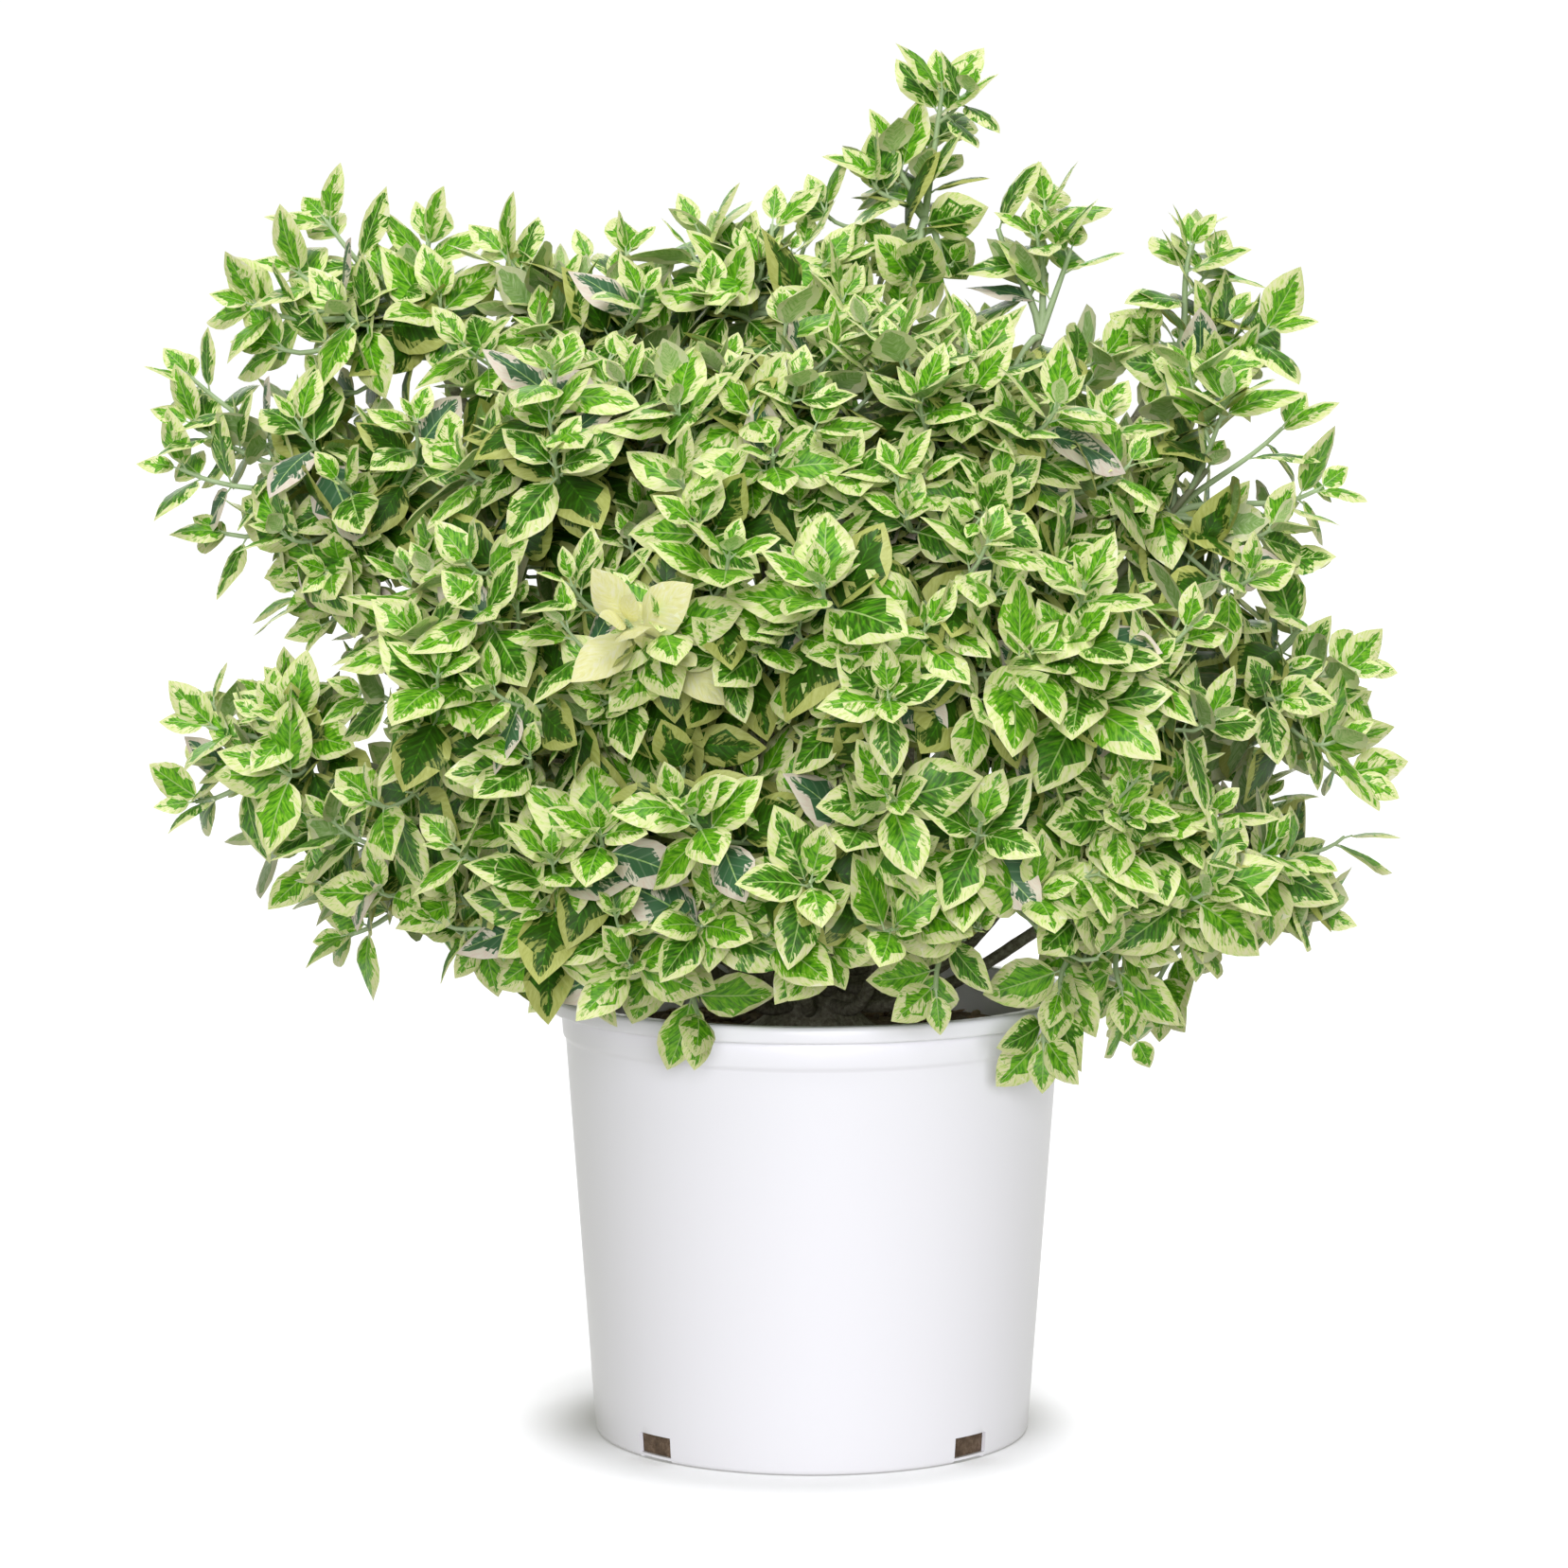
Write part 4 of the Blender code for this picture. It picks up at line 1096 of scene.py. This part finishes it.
def shoots_of(number, mass):
    """The mass's stem, its long shoots, its side shoots, and the fine twigs on all of them."""
    rng = random.Random(mass.name)
    head = mass.middle + mass.lead * (HEAD_REACH * mass.radius)
    line = bent_line(mass.entry, mass.approach, head, mass.lead, SHOOT_POINTS)
    stem = Shoot(line, STEM_RADII, rng.uniform(0, math.pi), "bright", 0)
    shoots = [stem]
    shoots.extend(long_shoots(mass, stem, rng))
    shoots.extend(side_shoots(number, mass, stem, rng))
    for shoot in shoots[:]:
        shoots.extend(fine_twigs(number, shoot, rng))
    return shoots


# Growth: the leaves on the shoots.

def leaf_axes(way, side, spread, facing):
    """(along, across, up) of one leaf of a pair, which leans out from way to side and faces the light."""
    along = (way * math.cos(spread) + side * math.sin(spread)).normalized()
    across = facing.cross(along)
    if across.length < 0.1:
        across = way.cross(along)
    across.normalize()
    return along, across, along.cross(across)


@dataclass
class Leaf:
    """One leaf: where its blade starts, its axes, its length, its form, its pattern and its kind."""

    root: Vector
    axes: tuple
    length: float
    form: int
    pattern: int
    kind: str


def leaf_kind(shoot, pair, draw):
    """The kind of one leaf: young at a shoot's tip and older further in. Inside the crown it is the shade
    kind, darker with painted shade.
    """
    if not shoot.long:
        inside = pair > LIT_PAIRS or (pair == LIT_PAIRS and draw > ONE_MORE_LIT_ODDS)
        if inside or (shoot.order == 0 and pair >= STEM_LIT_PAIRS):
            return "shade"
    if shoot.kind == "new":
        return "new" if pair < NEW_PAIRS else "light"
    if pair < YOUNG_PAIRS:
        return "young"
    if pair == YOUNG_PAIRS:
        return "light" if draw < LIGHT_LEAF_ODDS else shoot.kind
    if draw < OLD_LEAF_ODDS:
        return "old"
    if draw < OLD_LEAF_ODDS + GREEN_LEAF_ODDS:
        return "green"
    return shoot.kind


def leaf_fits(number, mass, shoot, pair, points, limb_points):
    """True if a leaf keeps to its mass, and clear of the pot, the boughs and the crown's openings."""
    overlap = LONG_CELL_OVERLAP if shoot.long else LEAF_CELL_OVERLAP
    if not clear_of_pot(points) or not keeps_to(number, points, overlap):
        return False
    if not shoot.long and points[:, 2].min() < mass.lowest:
        return False
    if not (shoot.long and pair < LEAVES_NEAR_TIP) and any(map(in_opening, points)):
        return False
    return np.min(np.linalg.norm(limb_points - points[0], axis=1)) >= LIMB_CLEARANCE


def crowded(taken, middle, normal):
    """True if a leaf would lie against another that faces the same way."""
    near = np.linalg.norm(taken[:, :3] - middle, axis=1) < LEAF_APART
    return bool(np.any(near & (taken[:, 3:] @ normal > SAME_FACING)))


def leaves_of(number, mass, shoots, limb_points):
    """Every leaf of a mass with its stalk, in pairs that turn by a quarter from one to the next."""
    rng = random.Random(mass.name + " leaves")
    to_light = -1 if mass.middle.y < BACK_MASS_FROM else 1
    leaves = []
    stalks = []
    taken = np.zeros((0, 6))
    for shoot in shoots:
        reach = line_length(shoot.line)
        bare = BARE_STEM if shoot.order == 0 else BARE_SHOOT
        turn = shoot.turn
        vigour = rng.uniform(*(LONG_LEAF_VIGOUR if shoot.long else LEAF_VIGOUR)) * shoot.vigour
        light_turn = LONG_LIGHT_TURN if shoot.long else LIGHT_TURN
        skipped = LONG_TURNED_AWAY_SKIPPED if shoot.long else TURNED_AWAY_SKIPPED
        for pair, (down, size, lean) in enumerate(LONG_PAIRS if shoot.long else PAIRS):
            share = 1.0 - down / reach
            if share < bare:
                break
            node, way = point_along(shoot.line, share)
            facing = (way + UP * 0.5 + Vector((0, light_turn * to_light, 0))).normalized()
            for half in (0, 1):
                if shoot.long and pair >= LONG_GAPS_FROM and rng.random() < LONG_GAP_ODDS:
                    continue
                length = size * vigour * rng.uniform(*LEAF_SIZES)
                spread = math.radians(lean + rng.uniform(-LEAN_SPREAD, LEAN_SPREAD))
                base_turn = turn + half * math.pi + rng.uniform(-LEAF_TURN_SPREAD, LEAF_TURN_SPREAD)
                form = rng.randrange(FORMS)
                pattern = rng.randrange(PATTERNS)
                kind = leaf_kind(shoot, pair, rng.random())
                turned_away = pair < LEAVES_NEAR_TIP and rng.random() < skipped
                for more in SIDES_TRIED:
                    side = Matrix.Rotation(base_turn + more, 3, way) @ way.orthogonal().normalized()
                    axes = leaf_axes(way, side, spread, facing)
                    if turned_away and axes[2].y * to_light < TURNED_AWAY:
                        continue
                    root = node + axes[0] * STALK
                    points = np.array([root + axes[0] * (length * part) for part in LEAF_SAMPLES])
                    if not leaf_fits(number, mass, shoot, pair, points, limb_points):
                        continue
                    middle = points[:2].mean(axis=0)
                    normal = np.array(axes[2])
                    if crowded(taken, middle, normal):
                        continue
                    taken = np.vstack([taken, np.concatenate([middle, normal])])
                    leaves.append(Leaf(root, axes, length, form, pattern, kind))
                    stalks.append((node, root + axes[0] * (IN_BLADE * length)))
                    shoot.use = max(shoot.use, share)
                    break
            turn += math.pi / 2
    return leaves, stalks


def twig_lines(shoots):
    """(points, radii, order) of each shoot up to a little past the last leaf or shoot that it bears. One that
    bears nothing is left out."""
    for shoot in reversed(shoots):
        if shoot.use > 0 and shoot.bearer:
            shoot.bearer.use = max(shoot.bearer.use, shoot.foot)
    rows = []
    for shoot in shoots:
        if shoot.use > 0:
            length = line_length(shoot.line)
            end = min(1.0, shoot.use + PAST_LAST_LEAF / length)
            count = max(2, round(length * end / TWIG_SPACING) + 1)
            shares = np.linspace(0, end, count)
            points = [point_along(shoot.line, share)[0] for share in shares]
            first, last = shoot.radii
            rows.append((points, first + (last - first) * shares, shoot.order))
    return rows


# Joined meshes from arrays.

SHARP_FROM = math.radians(75)


def joined_mesh(name, corners, faces, face_materials, materials, on_map=None):
    """A mesh object from an array of corners, rows of faces of three or four corners, each face's material,
    and each corner's place on the leaf map, if it has one."""
    mesh = bpy.data.meshes.new(name)
    loops = np.concatenate([row.reshape(-1) for row in faces]).astype(np.int32)
    sizes = np.concatenate([np.full(len(row), row.shape[1], np.int32) for row in faces])
    starts = np.concatenate([[0], np.cumsum(sizes)[:-1]]).astype(np.int32)
    mesh.vertices.add(len(corners))
    mesh.vertices.foreach_set("co", corners.astype(np.float32).reshape(-1))
    mesh.loops.add(len(loops))
    mesh.loops.foreach_set("vertex_index", loops)
    mesh.polygons.add(len(sizes))
    mesh.polygons.foreach_set("loop_start", starts)
    mesh.polygons.foreach_set("material_index", np.concatenate(face_materials).astype(np.int32))
    for material in materials:
        mesh.materials.append(material)
    mesh.update(calc_edges=True)
    if on_map is not None:
        leaf_map = mesh.uv_layers.new(name="leaf_map")
        leaf_map.data.foreach_set("uv", on_map[loops].astype(np.float32).reshape(-1))
    mesh.shade_smooth()
    mesh.set_sharp_from_angle(angle=SHARP_FROM)
    mesh.validate()
    piece = bpy.data.objects.new(name, mesh)
    bpy.context.scene.collection.objects.link(piece)
    return piece


class Tubes:
    """Round limbs gathered into one mesh."""

    def __init__(self):
        self.corners = []
        self.quads = []
        self.ends = []
        self.marks = []
        self.end_marks = []

    def add(self, line, radii, sides, mark=0, relief=None):
        """One limb along a line, closed at both ends. Its mark is the number of its material."""
        points = [Vector(point) for point in line]
        base = len(self.corners)
        across = None
        for step, (point, radius) in enumerate(zip(points, radii)):
            before = points[max(0, step - 1)]
            after = points[min(len(points) - 1, step + 1)]
            way = (after - before).normalized()
            if across is None:
                across = way.orthogonal().normalized()
            across = (across - way * across.dot(way)).normalized()
            other = way.cross(across)
            for side in range(sides):
                angle = 2 * math.pi * side / sides
                out = across * math.cos(angle) + other * math.sin(angle)
                size = radius if relief is None else radius * relief(point + out * radius, angle)
                self.corners.append(point + out * size)
        for step in range(len(points) - 1):
            for side in range(sides):
                this = base + step * sides + side
                after = base + step * sides + (side + 1) % sides
                self.quads.append((this, after, after + sides, this + sides))
                self.marks.append(mark)
        last = base + (len(points) - 1) * sides
        for side in range(1, sides - 1):
            self.ends.append((base, base + side + 1, base + side))
            self.ends.append((last, last + side, last + side + 1))
            self.end_marks.extend((mark, mark))

    def piece(self, name, materials):
        """The gathered limbs as one object."""
        return joined_mesh(
            name,
            np.array(self.corners),
            [np.array(self.quads), np.array(self.ends)],
            [np.array(self.marks), np.array(self.end_marks)],
            materials,
        )


def even_points(line, spacing):
    """Points along a line about a spacing apart."""
    count = max(2, round(line_length(line) / spacing) + 1)
    return [point_along(line, step / (count - 1))[0] for step in range(count)]


# Leaves.

TOP_ROWS = 8
UNDER_ROWS = (0.62, 0.0, -0.62)
ROWS_IN_ALL = TOP_ROWS + len(UNDER_ROWS)
STATIONS = len(LEAF_STATIONS)
STRIP_ZONES = (EDGE, FEATHER, INNER, RIB, INNER, FEATHER, EDGE, UNDER_EDGE, UNDER, UNDER, UNDER_EDGE)


def leaf_faces():
    """(triangles, quads) of a leaf: eight rows over it, three rows under it, closed at base and tip."""

    def corner(station, row):
        """Number of a leaf's corner. The first two are its base and its tip."""
        return 2 + station * ROWS_IN_ALL + row % ROWS_IN_ALL

    triangles = []
    quads = []
    for row in range(ROWS_IN_ALL):
        triangles.append((0, corner(0, row), corner(0, row + 1)))
        triangles.append((1, corner(STATIONS - 1, row + 1), corner(STATIONS - 1, row)))
        for station in range(STATIONS - 1):
            quads.append((
                corner(station, row),
                corner(station + 1, row),
                corner(station + 1, row + 1),
                corner(station, row + 1),
            ))
    return np.array(triangles), np.array(quads)


def leaf_rows(pattern, width, sharp):
    """(along, across, half width, row, share) of each corner of a flat leaf one unit long. The pattern moves
    the borders of its zones."""
    rng = random.Random(1000 + pattern)
    rows = []
    for number, (share, swell) in enumerate(LEAF_STATIONS):
        tooth = 1 + TOOTH if number % 2 else 1 - TOOTH
        half = width * swell * tooth * (1 - sharp * max(0.0, share - 0.5))
        past = max(0.0, share - NARROWS_FROM) / (1 - NARROWS_FROM)
        inward = GREEN_WIDTHS[pattern] * (1 - NARROWS_BY * past)
        borders = []
        for _ in range(2):
            ragged = (RAGGED if number % 2 else -RAGGED) + rng.uniform(-RAGGED, RAGGED)
            border = max(GREEN_LIMITS[0], min(GREEN_LIMITS[1], inward + ragged))
            borders.append((border, border * rng.uniform(*FEATHER_FROM)))
        rib = min(RIB_HALF_WIDTH * (1.3 - share), half * 0.12)
        left, right = borders
        across = (
            -half,
            -half * left[0],
            -half * left[1],
            -rib,
            rib,
            half * right[1],
            half * right[0],
            half,
        )
        for row, y in enumerate(across):
            slip = 0.015 * (0.5 + abs(y) / half) if row in (1, 2, 5, 6) else 0.0
            rows.append((share + slip, y, half, row, share))
        for row, part in enumerate(UNDER_ROWS):
            part *= 0.84 if number % 2 else 1.12
            rows.append((share, half * part * (1 - 0.5 * share ** 3), half, TOP_ROWS + row, share))
    return rows


def leaf_corners(pattern, form):
    """Corners of a leaf one unit long, and their places on its map, one row each. The form sets how the leaf
    folds, waves, twists, bends and narrows to its tip."""
    shape = random.Random(2000 + form)
    fold = math.radians(shape.uniform(*FOLDS))
    bend = shape.uniform(*BENDS)
    width = LEAF_HALF_WIDTH * shape.uniform(*WIDTHS)
    wave = shape.uniform(*WAVES)
    phase = shape.uniform(0, 2 * math.pi)
    twist = shape.uniform(*TWISTS)
    sharp = shape.uniform(*POINTED)
    rows = leaf_rows(pattern, width, sharp)
    placed = []
    for x, y, half, row, share in rows:
        flat = abs(y)
        lift = flat * math.sin(fold) - BLADE_ARCH * flat * flat / max(half, 0.01)
        lift += wave * math.sin(phase + 7 * share + (2.0 if y > 0 else 0.0)) * (flat / width)
        if row in (3, 4):
            lift -= RIB_SUNK
        if row >= TOP_ROWS:
            lift -= LEAF_THICKNESS
        turn = twist * share
        side = y * math.cos(fold)
        turned = side * math.cos(turn) - lift * math.sin(turn)
        lift = side * math.sin(turn) + lift * math.cos(turn)
        angle = bend * x
        along = math.sin(angle) / bend + lift * math.sin(angle)
        height = -(1 - math.cos(angle)) / bend + lift * math.cos(angle)
        placed.append((along, turned, height))
    tip = (math.sin(bend) / bend, 0.0, -(1 - math.cos(bend)) / bend)
    on_map = [(0.0, 0.0), (1.0, 0.0), *((x, y / half) for x, y, half, row, share in rows)]
    corners = [(0.0, 0.0, 0.0), tip, *placed]
    return np.array([(*corner, *spot) for corner, spot in zip(corners, on_map)])


def leaf_zones(pattern):
    """Zone of each triangle and quad, with a few faces in a neighbour's zone so that borders look ragged."""
    rng = random.Random(3000 + pattern)
    triangle_zones = []
    quad_zones = []
    for row, zone in enumerate(STRIP_ZONES):
        tip_zone = EDGE if row < TOP_ROWS - 1 else UNDER_EDGE
        triangle_zones.extend((zone, tip_zone))
        for station in range(STATIONS - 1):
            drawn = zone
            draw = rng.random()
            at_tip = station == STATIONS - 2
            if zone == FEATHER and draw < FEATHER_TO_INNER:
                drawn = INNER
            elif zone == EDGE and draw < EDGE_TO_FEATHER:
                drawn = FEATHER
            elif zone == INNER and draw < (LAST_INNER_TO_FEATHER if at_tip else INNER_TO_FEATHER):
                drawn = FEATHER
            quad_zones.append(drawn)
    return np.array(triangle_zones), np.array(quad_zones)


LEAF_TRIANGLES, LEAF_QUADS = leaf_faces()
LEAF_SHAPES = np.array(
    [[leaf_corners(pattern, form) for form in range(FORMS)] for pattern in range(PATTERNS)]
)
LEAF_ZONES = [leaf_zones(pattern) for pattern in range(PATTERNS)]
KIND_SKINS = {kind: np.array([SKIN_NAMES.index(name) for name in KINDS[kind]]) for kind in KINDS}


def leaves_piece(name, leaves, materials):
    """All the leaves of a mass as one mesh, each in its own outline and colours."""
    roots = np.array([leaf.root for leaf in leaves])
    axes = np.array([[list(axis) for axis in leaf.axes] for leaf in leaves])
    lengths = np.array([leaf.length for leaf in leaves])
    shapes = LEAF_SHAPES[[leaf.pattern for leaf in leaves], [leaf.form for leaf in leaves]]
    sized = shapes[:, :, :3] * lengths[:, None, None]
    corners = np.einsum("nvk,nkc->nvc", sized, axes) + roots[:, None, :]
    map_places = np.array([[[MAP_STEP * (number % MAP_STEPS), 0.0]] for number in range(len(leaves))])
    on_map = shapes[:, :, 3:] + map_places
    offsets = (np.arange(len(leaves)) * shapes.shape[1])[:, None, None]
    triangles = (LEAF_TRIANGLES[None] + offsets).reshape(-1, 3)
    quads = (LEAF_QUADS[None] + offsets).reshape(-1, 4)
    zones = [LEAF_ZONES[leaf.pattern] for leaf in leaves]
    skins = [KIND_SKINS[leaf.kind] for leaf in leaves]
    face_materials = [
        np.concatenate([skin[zone[part]] for zone, skin in zip(zones, skins)]) for part in (0, 1)
    ]
    return joined_mesh(
        name,
        corners.reshape(-1, 3),
        [triangles, quads],
        face_materials,
        materials,
        on_map.reshape(-1, 2),
    )


# The plant, piece by piece.

def bark_relief(point, angle):
    """How much a bough's surface stands out or in at a point, as a share of its radius."""
    knobs = noise.noise(point * 160) * 0.10
    grain = noise.noise(Vector((math.cos(angle) * 2, math.sin(angle) * 2, point.z * 60))) * 0.08
    return 1 + knobs + grain


def make_boughs(lines, material):
    """All the boughs, with knobbly bark."""
    boughs = Tubes()
    for line in lines:
        points = even_points(line, BOUGH_SPACING)
        radii = np.linspace(BOUGH_FOOT_RADIUS, BOUGH_TIP_RADIUS, len(points))
        boughs.add(points, radii, BOUGH_SIDES, relief=bark_relief)
    return boughs.piece("barked_boughs", [material])


def make_twigs(mass, shoots, stalks, materials):
    """The stem, shoots, twigs and leaf stalks of a mass. The stem is the riper one."""
    twigs = Tubes()
    for points, radii, order in twig_lines(shoots):
        twigs.add(points, radii, TWIG_SIDES, 0 if order == 0 else 1)
    for line in stalks:
        twigs.add(line, STALK_RADII, STALK_SIDES, 1)
    return twigs.piece(f"twigs_{mass.name}", materials)


def make_foliage(lines, leaf_skins, twig_skins):
    """Every mass's own growth: its leaves, which stand for the solid, and its twigs."""
    limb_points = np.array([point for line in lines for point in even_points(line, LIMB_SPACING)[:-2]])
    for number, mass in enumerate(MASS_LIST):
        shoots = shoots_of(number, mass)
        leaves, stalks = leaves_of(number, mass, shoots, limb_points)
        leaf_piece = leaves_piece(f"leaves_{mass.name}", leaves, leaf_skins)
        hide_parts(f"foliage_{mass.name}")
        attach(leaf_piece, "root")
        twig_piece = make_twigs(mass, shoots, stalks, twig_skins)
        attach(twig_piece, "root")


def main():
    """The pot, the potting mix with its chips, the stem, the boughs and the foliage."""
    pot = make_pot(plastic_material())
    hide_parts("pot")
    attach(pot, "root")

    soil = make_soil(soil_material(
        "damp_potting_mix",
        ((0.30, (0.070, 0.046, 0.030)), (0.52, (0.15, 0.10, 0.068)), (0.72, (0.28, 0.20, 0.145))),
        180.0,
    ))
    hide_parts("potting_mix")
    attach(soil, "root")

    chips = make_chips([
        soil_material(
            f"bark_chip_{number}",
            ((0.35, tuple(part * 0.6 for part in colour)), (0.65, colour)),
            240.0,
        )
        for number, colour in enumerate(CHIP_COLOURS)
    ])
    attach(chips, "root")

    bark = bark_material()
    stem = make_stem(bark)
    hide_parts("stem")
    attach(stem, "root")

    lines = bough_lines()
    boughs = make_boughs(lines, bark)
    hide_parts(*[f"bough_{mass.name}" for mass in MASS_LIST])
    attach(boughs, "root")

    leaf_skins = [leaf_material(f"leaf_{name}", *LEAF_SKINS[name]) for name in SKIN_NAMES]
    ripe_twig = twig_material("ripe_twig", (0.33, 0.35, 0.22), 0.6, 0.5, 0.0005)
    green_twig = twig_material("green_twig", (0.48, 0.62, 0.36), 0.5, 0.3, 0.0004)
    make_foliage(lines, leaf_skins, [ripe_twig, green_twig])


# The stage.

def make_floor():
    """The pale floor."""
    deselect_all()
    bpy.ops.mesh.primitive_plane_add(size=60, location=(0, 0, 0))
    floor = bpy.context.object
    floor.name = "studio_floor"
    material, shader = make_material("pale_floor", (0.90, 0.90, 0.93), 0.9)
    shader.inputs["Emission Color"].default_value = (1, 1, 1, 1)
    shader.inputs["Emission Strength"].default_value = 0.05
    floor.data.materials.append(material)
    floor.visible_diffuse = False
    return floor


def make_world():
    """Soft light from all round, behind a white background."""
    world = bpy.data.worlds.new("studio")
    world.use_nodes = True
    ambient = world.node_tree.nodes["Background"]
    ambient.inputs["Color"].default_value = (1, 1, 0.86, 1)
    ambient.inputs["Strength"].default_value = 0.34
    seen = add_node(world, "ShaderNodeBackground", {"Color": (1, 1, 1, 1), "Strength": 1.02})
    rays = add_node(world, "ShaderNodeLightPath")
    choice = add_node(world, "ShaderNodeMixShader")
    join(world, rays.outputs["Is Camera Ray"], choice.inputs["Fac"])
    join(world, ambient.outputs["Background"], choice.inputs[1])
    join(world, seen.outputs["Background"], choice.inputs[2])
    join(world, choice.outputs["Shader"], world.node_tree.nodes["World Output"].inputs["Surface"])
    bpy.context.scene.world = world


def light_group(name, members, left_out=False):
    """A collection for light linking: it holds its members alone or, with left_out, all but its members."""
    group = bpy.data.collections.new(name)
    for member in members:
        group.objects.link(member)
    for link in group.collection_objects:
        link.light_linking.link_state = "EXCLUDE" if left_out else "INCLUDE"
    return group


def make_lights(floor):
    """Soft lights from the front, the top and the back. The key, low and top lights are for the plant, and
    the pot has its own. Only the back light is for both. The floor has lights of its own, shaded by the pot
    alone, so that it stays pale under the crown. Nothing shades its fill."""
    pot = bpy.data.objects["nursery_pot"]
    all_but_floor = light_group("all_but_floor", [floor], left_out=True)
    only_plant = light_group("only_plant", [floor, pot], left_out=True)
    only_floor = light_group("only_floor", [floor])
    only_pot = light_group("only_pot", [pot])
    # Name, way, softness in degrees, power, colour, what it lights and what shades that.
    for name, way, softness, power, colour, lit, shading in (
        ("key_light", (0.14, 1.0, -0.28), 24, 1.30, (1, 1, 1), only_plant, None),
        ("low_light", (0.04, 1.0, 0.32), 30, 0.62, (1, 1, 0.98), only_plant, None),
        ("pot_light", (-0.08, 1.0, -0.10), 34, 3.24, (1, 0.995, 1.065), only_pot, None),
        ("top_light", (-0.15, 0.50, -1.0), 30, 1.42, (1, 1, 1), only_plant, None),
        ("back_light", (0.10, -1.0, -0.45), 40, 0.75, (1, 1, 1), all_but_floor, None),
        ("floor_side_light", (-0.050, 0.250, -1.0), 16, 1.34, (1, 1, 1.01), only_floor, only_pot),
        ("floor_light", (-0.022, -0.085, -1.0), 13, 1.60, (1, 1, 1.01), only_floor, only_pot),
        ("floor_fill", (0.0, 0.0, -1.0), 15, 0.10, (1, 1, 1.05), only_floor, only_floor),
    ):
        light = bpy.data.lights.new(name, "SUN")
        light.angle = math.radians(softness)
        light.energy = power
        light.color = colour
        lamp = bpy.data.objects.new(name, light)
        bpy.context.scene.collection.objects.link(lamp)
        lamp.rotation_euler = Vector(way).to_track_quat("-Z", "Y").to_euler()
        lamp.light_linking.receiver_collection = lit
        lamp.light_linking.blocker_collection = shading


def make_camera():
    """The photograph's camera."""
    lens = bpy.data.cameras.new("photo_camera")
    lens.lens = CAMERA_LENS
    lens.sensor_width = CAMERA_SENSOR
    camera = bpy.data.objects.new("photo_camera", lens)
    bpy.context.scene.collection.objects.link(camera)
    camera.location = CAMERA_PLACE
    camera.rotation_euler = (math.pi / 2 - CAMERA_PITCH, 0, 0)
    bpy.context.scene.camera = camera
    bpy.context.scene.view_settings.view_transform = "Standard"


main()
make_world()
make_lights(make_floor())
make_camera()
bpy.context.view_layer.update()
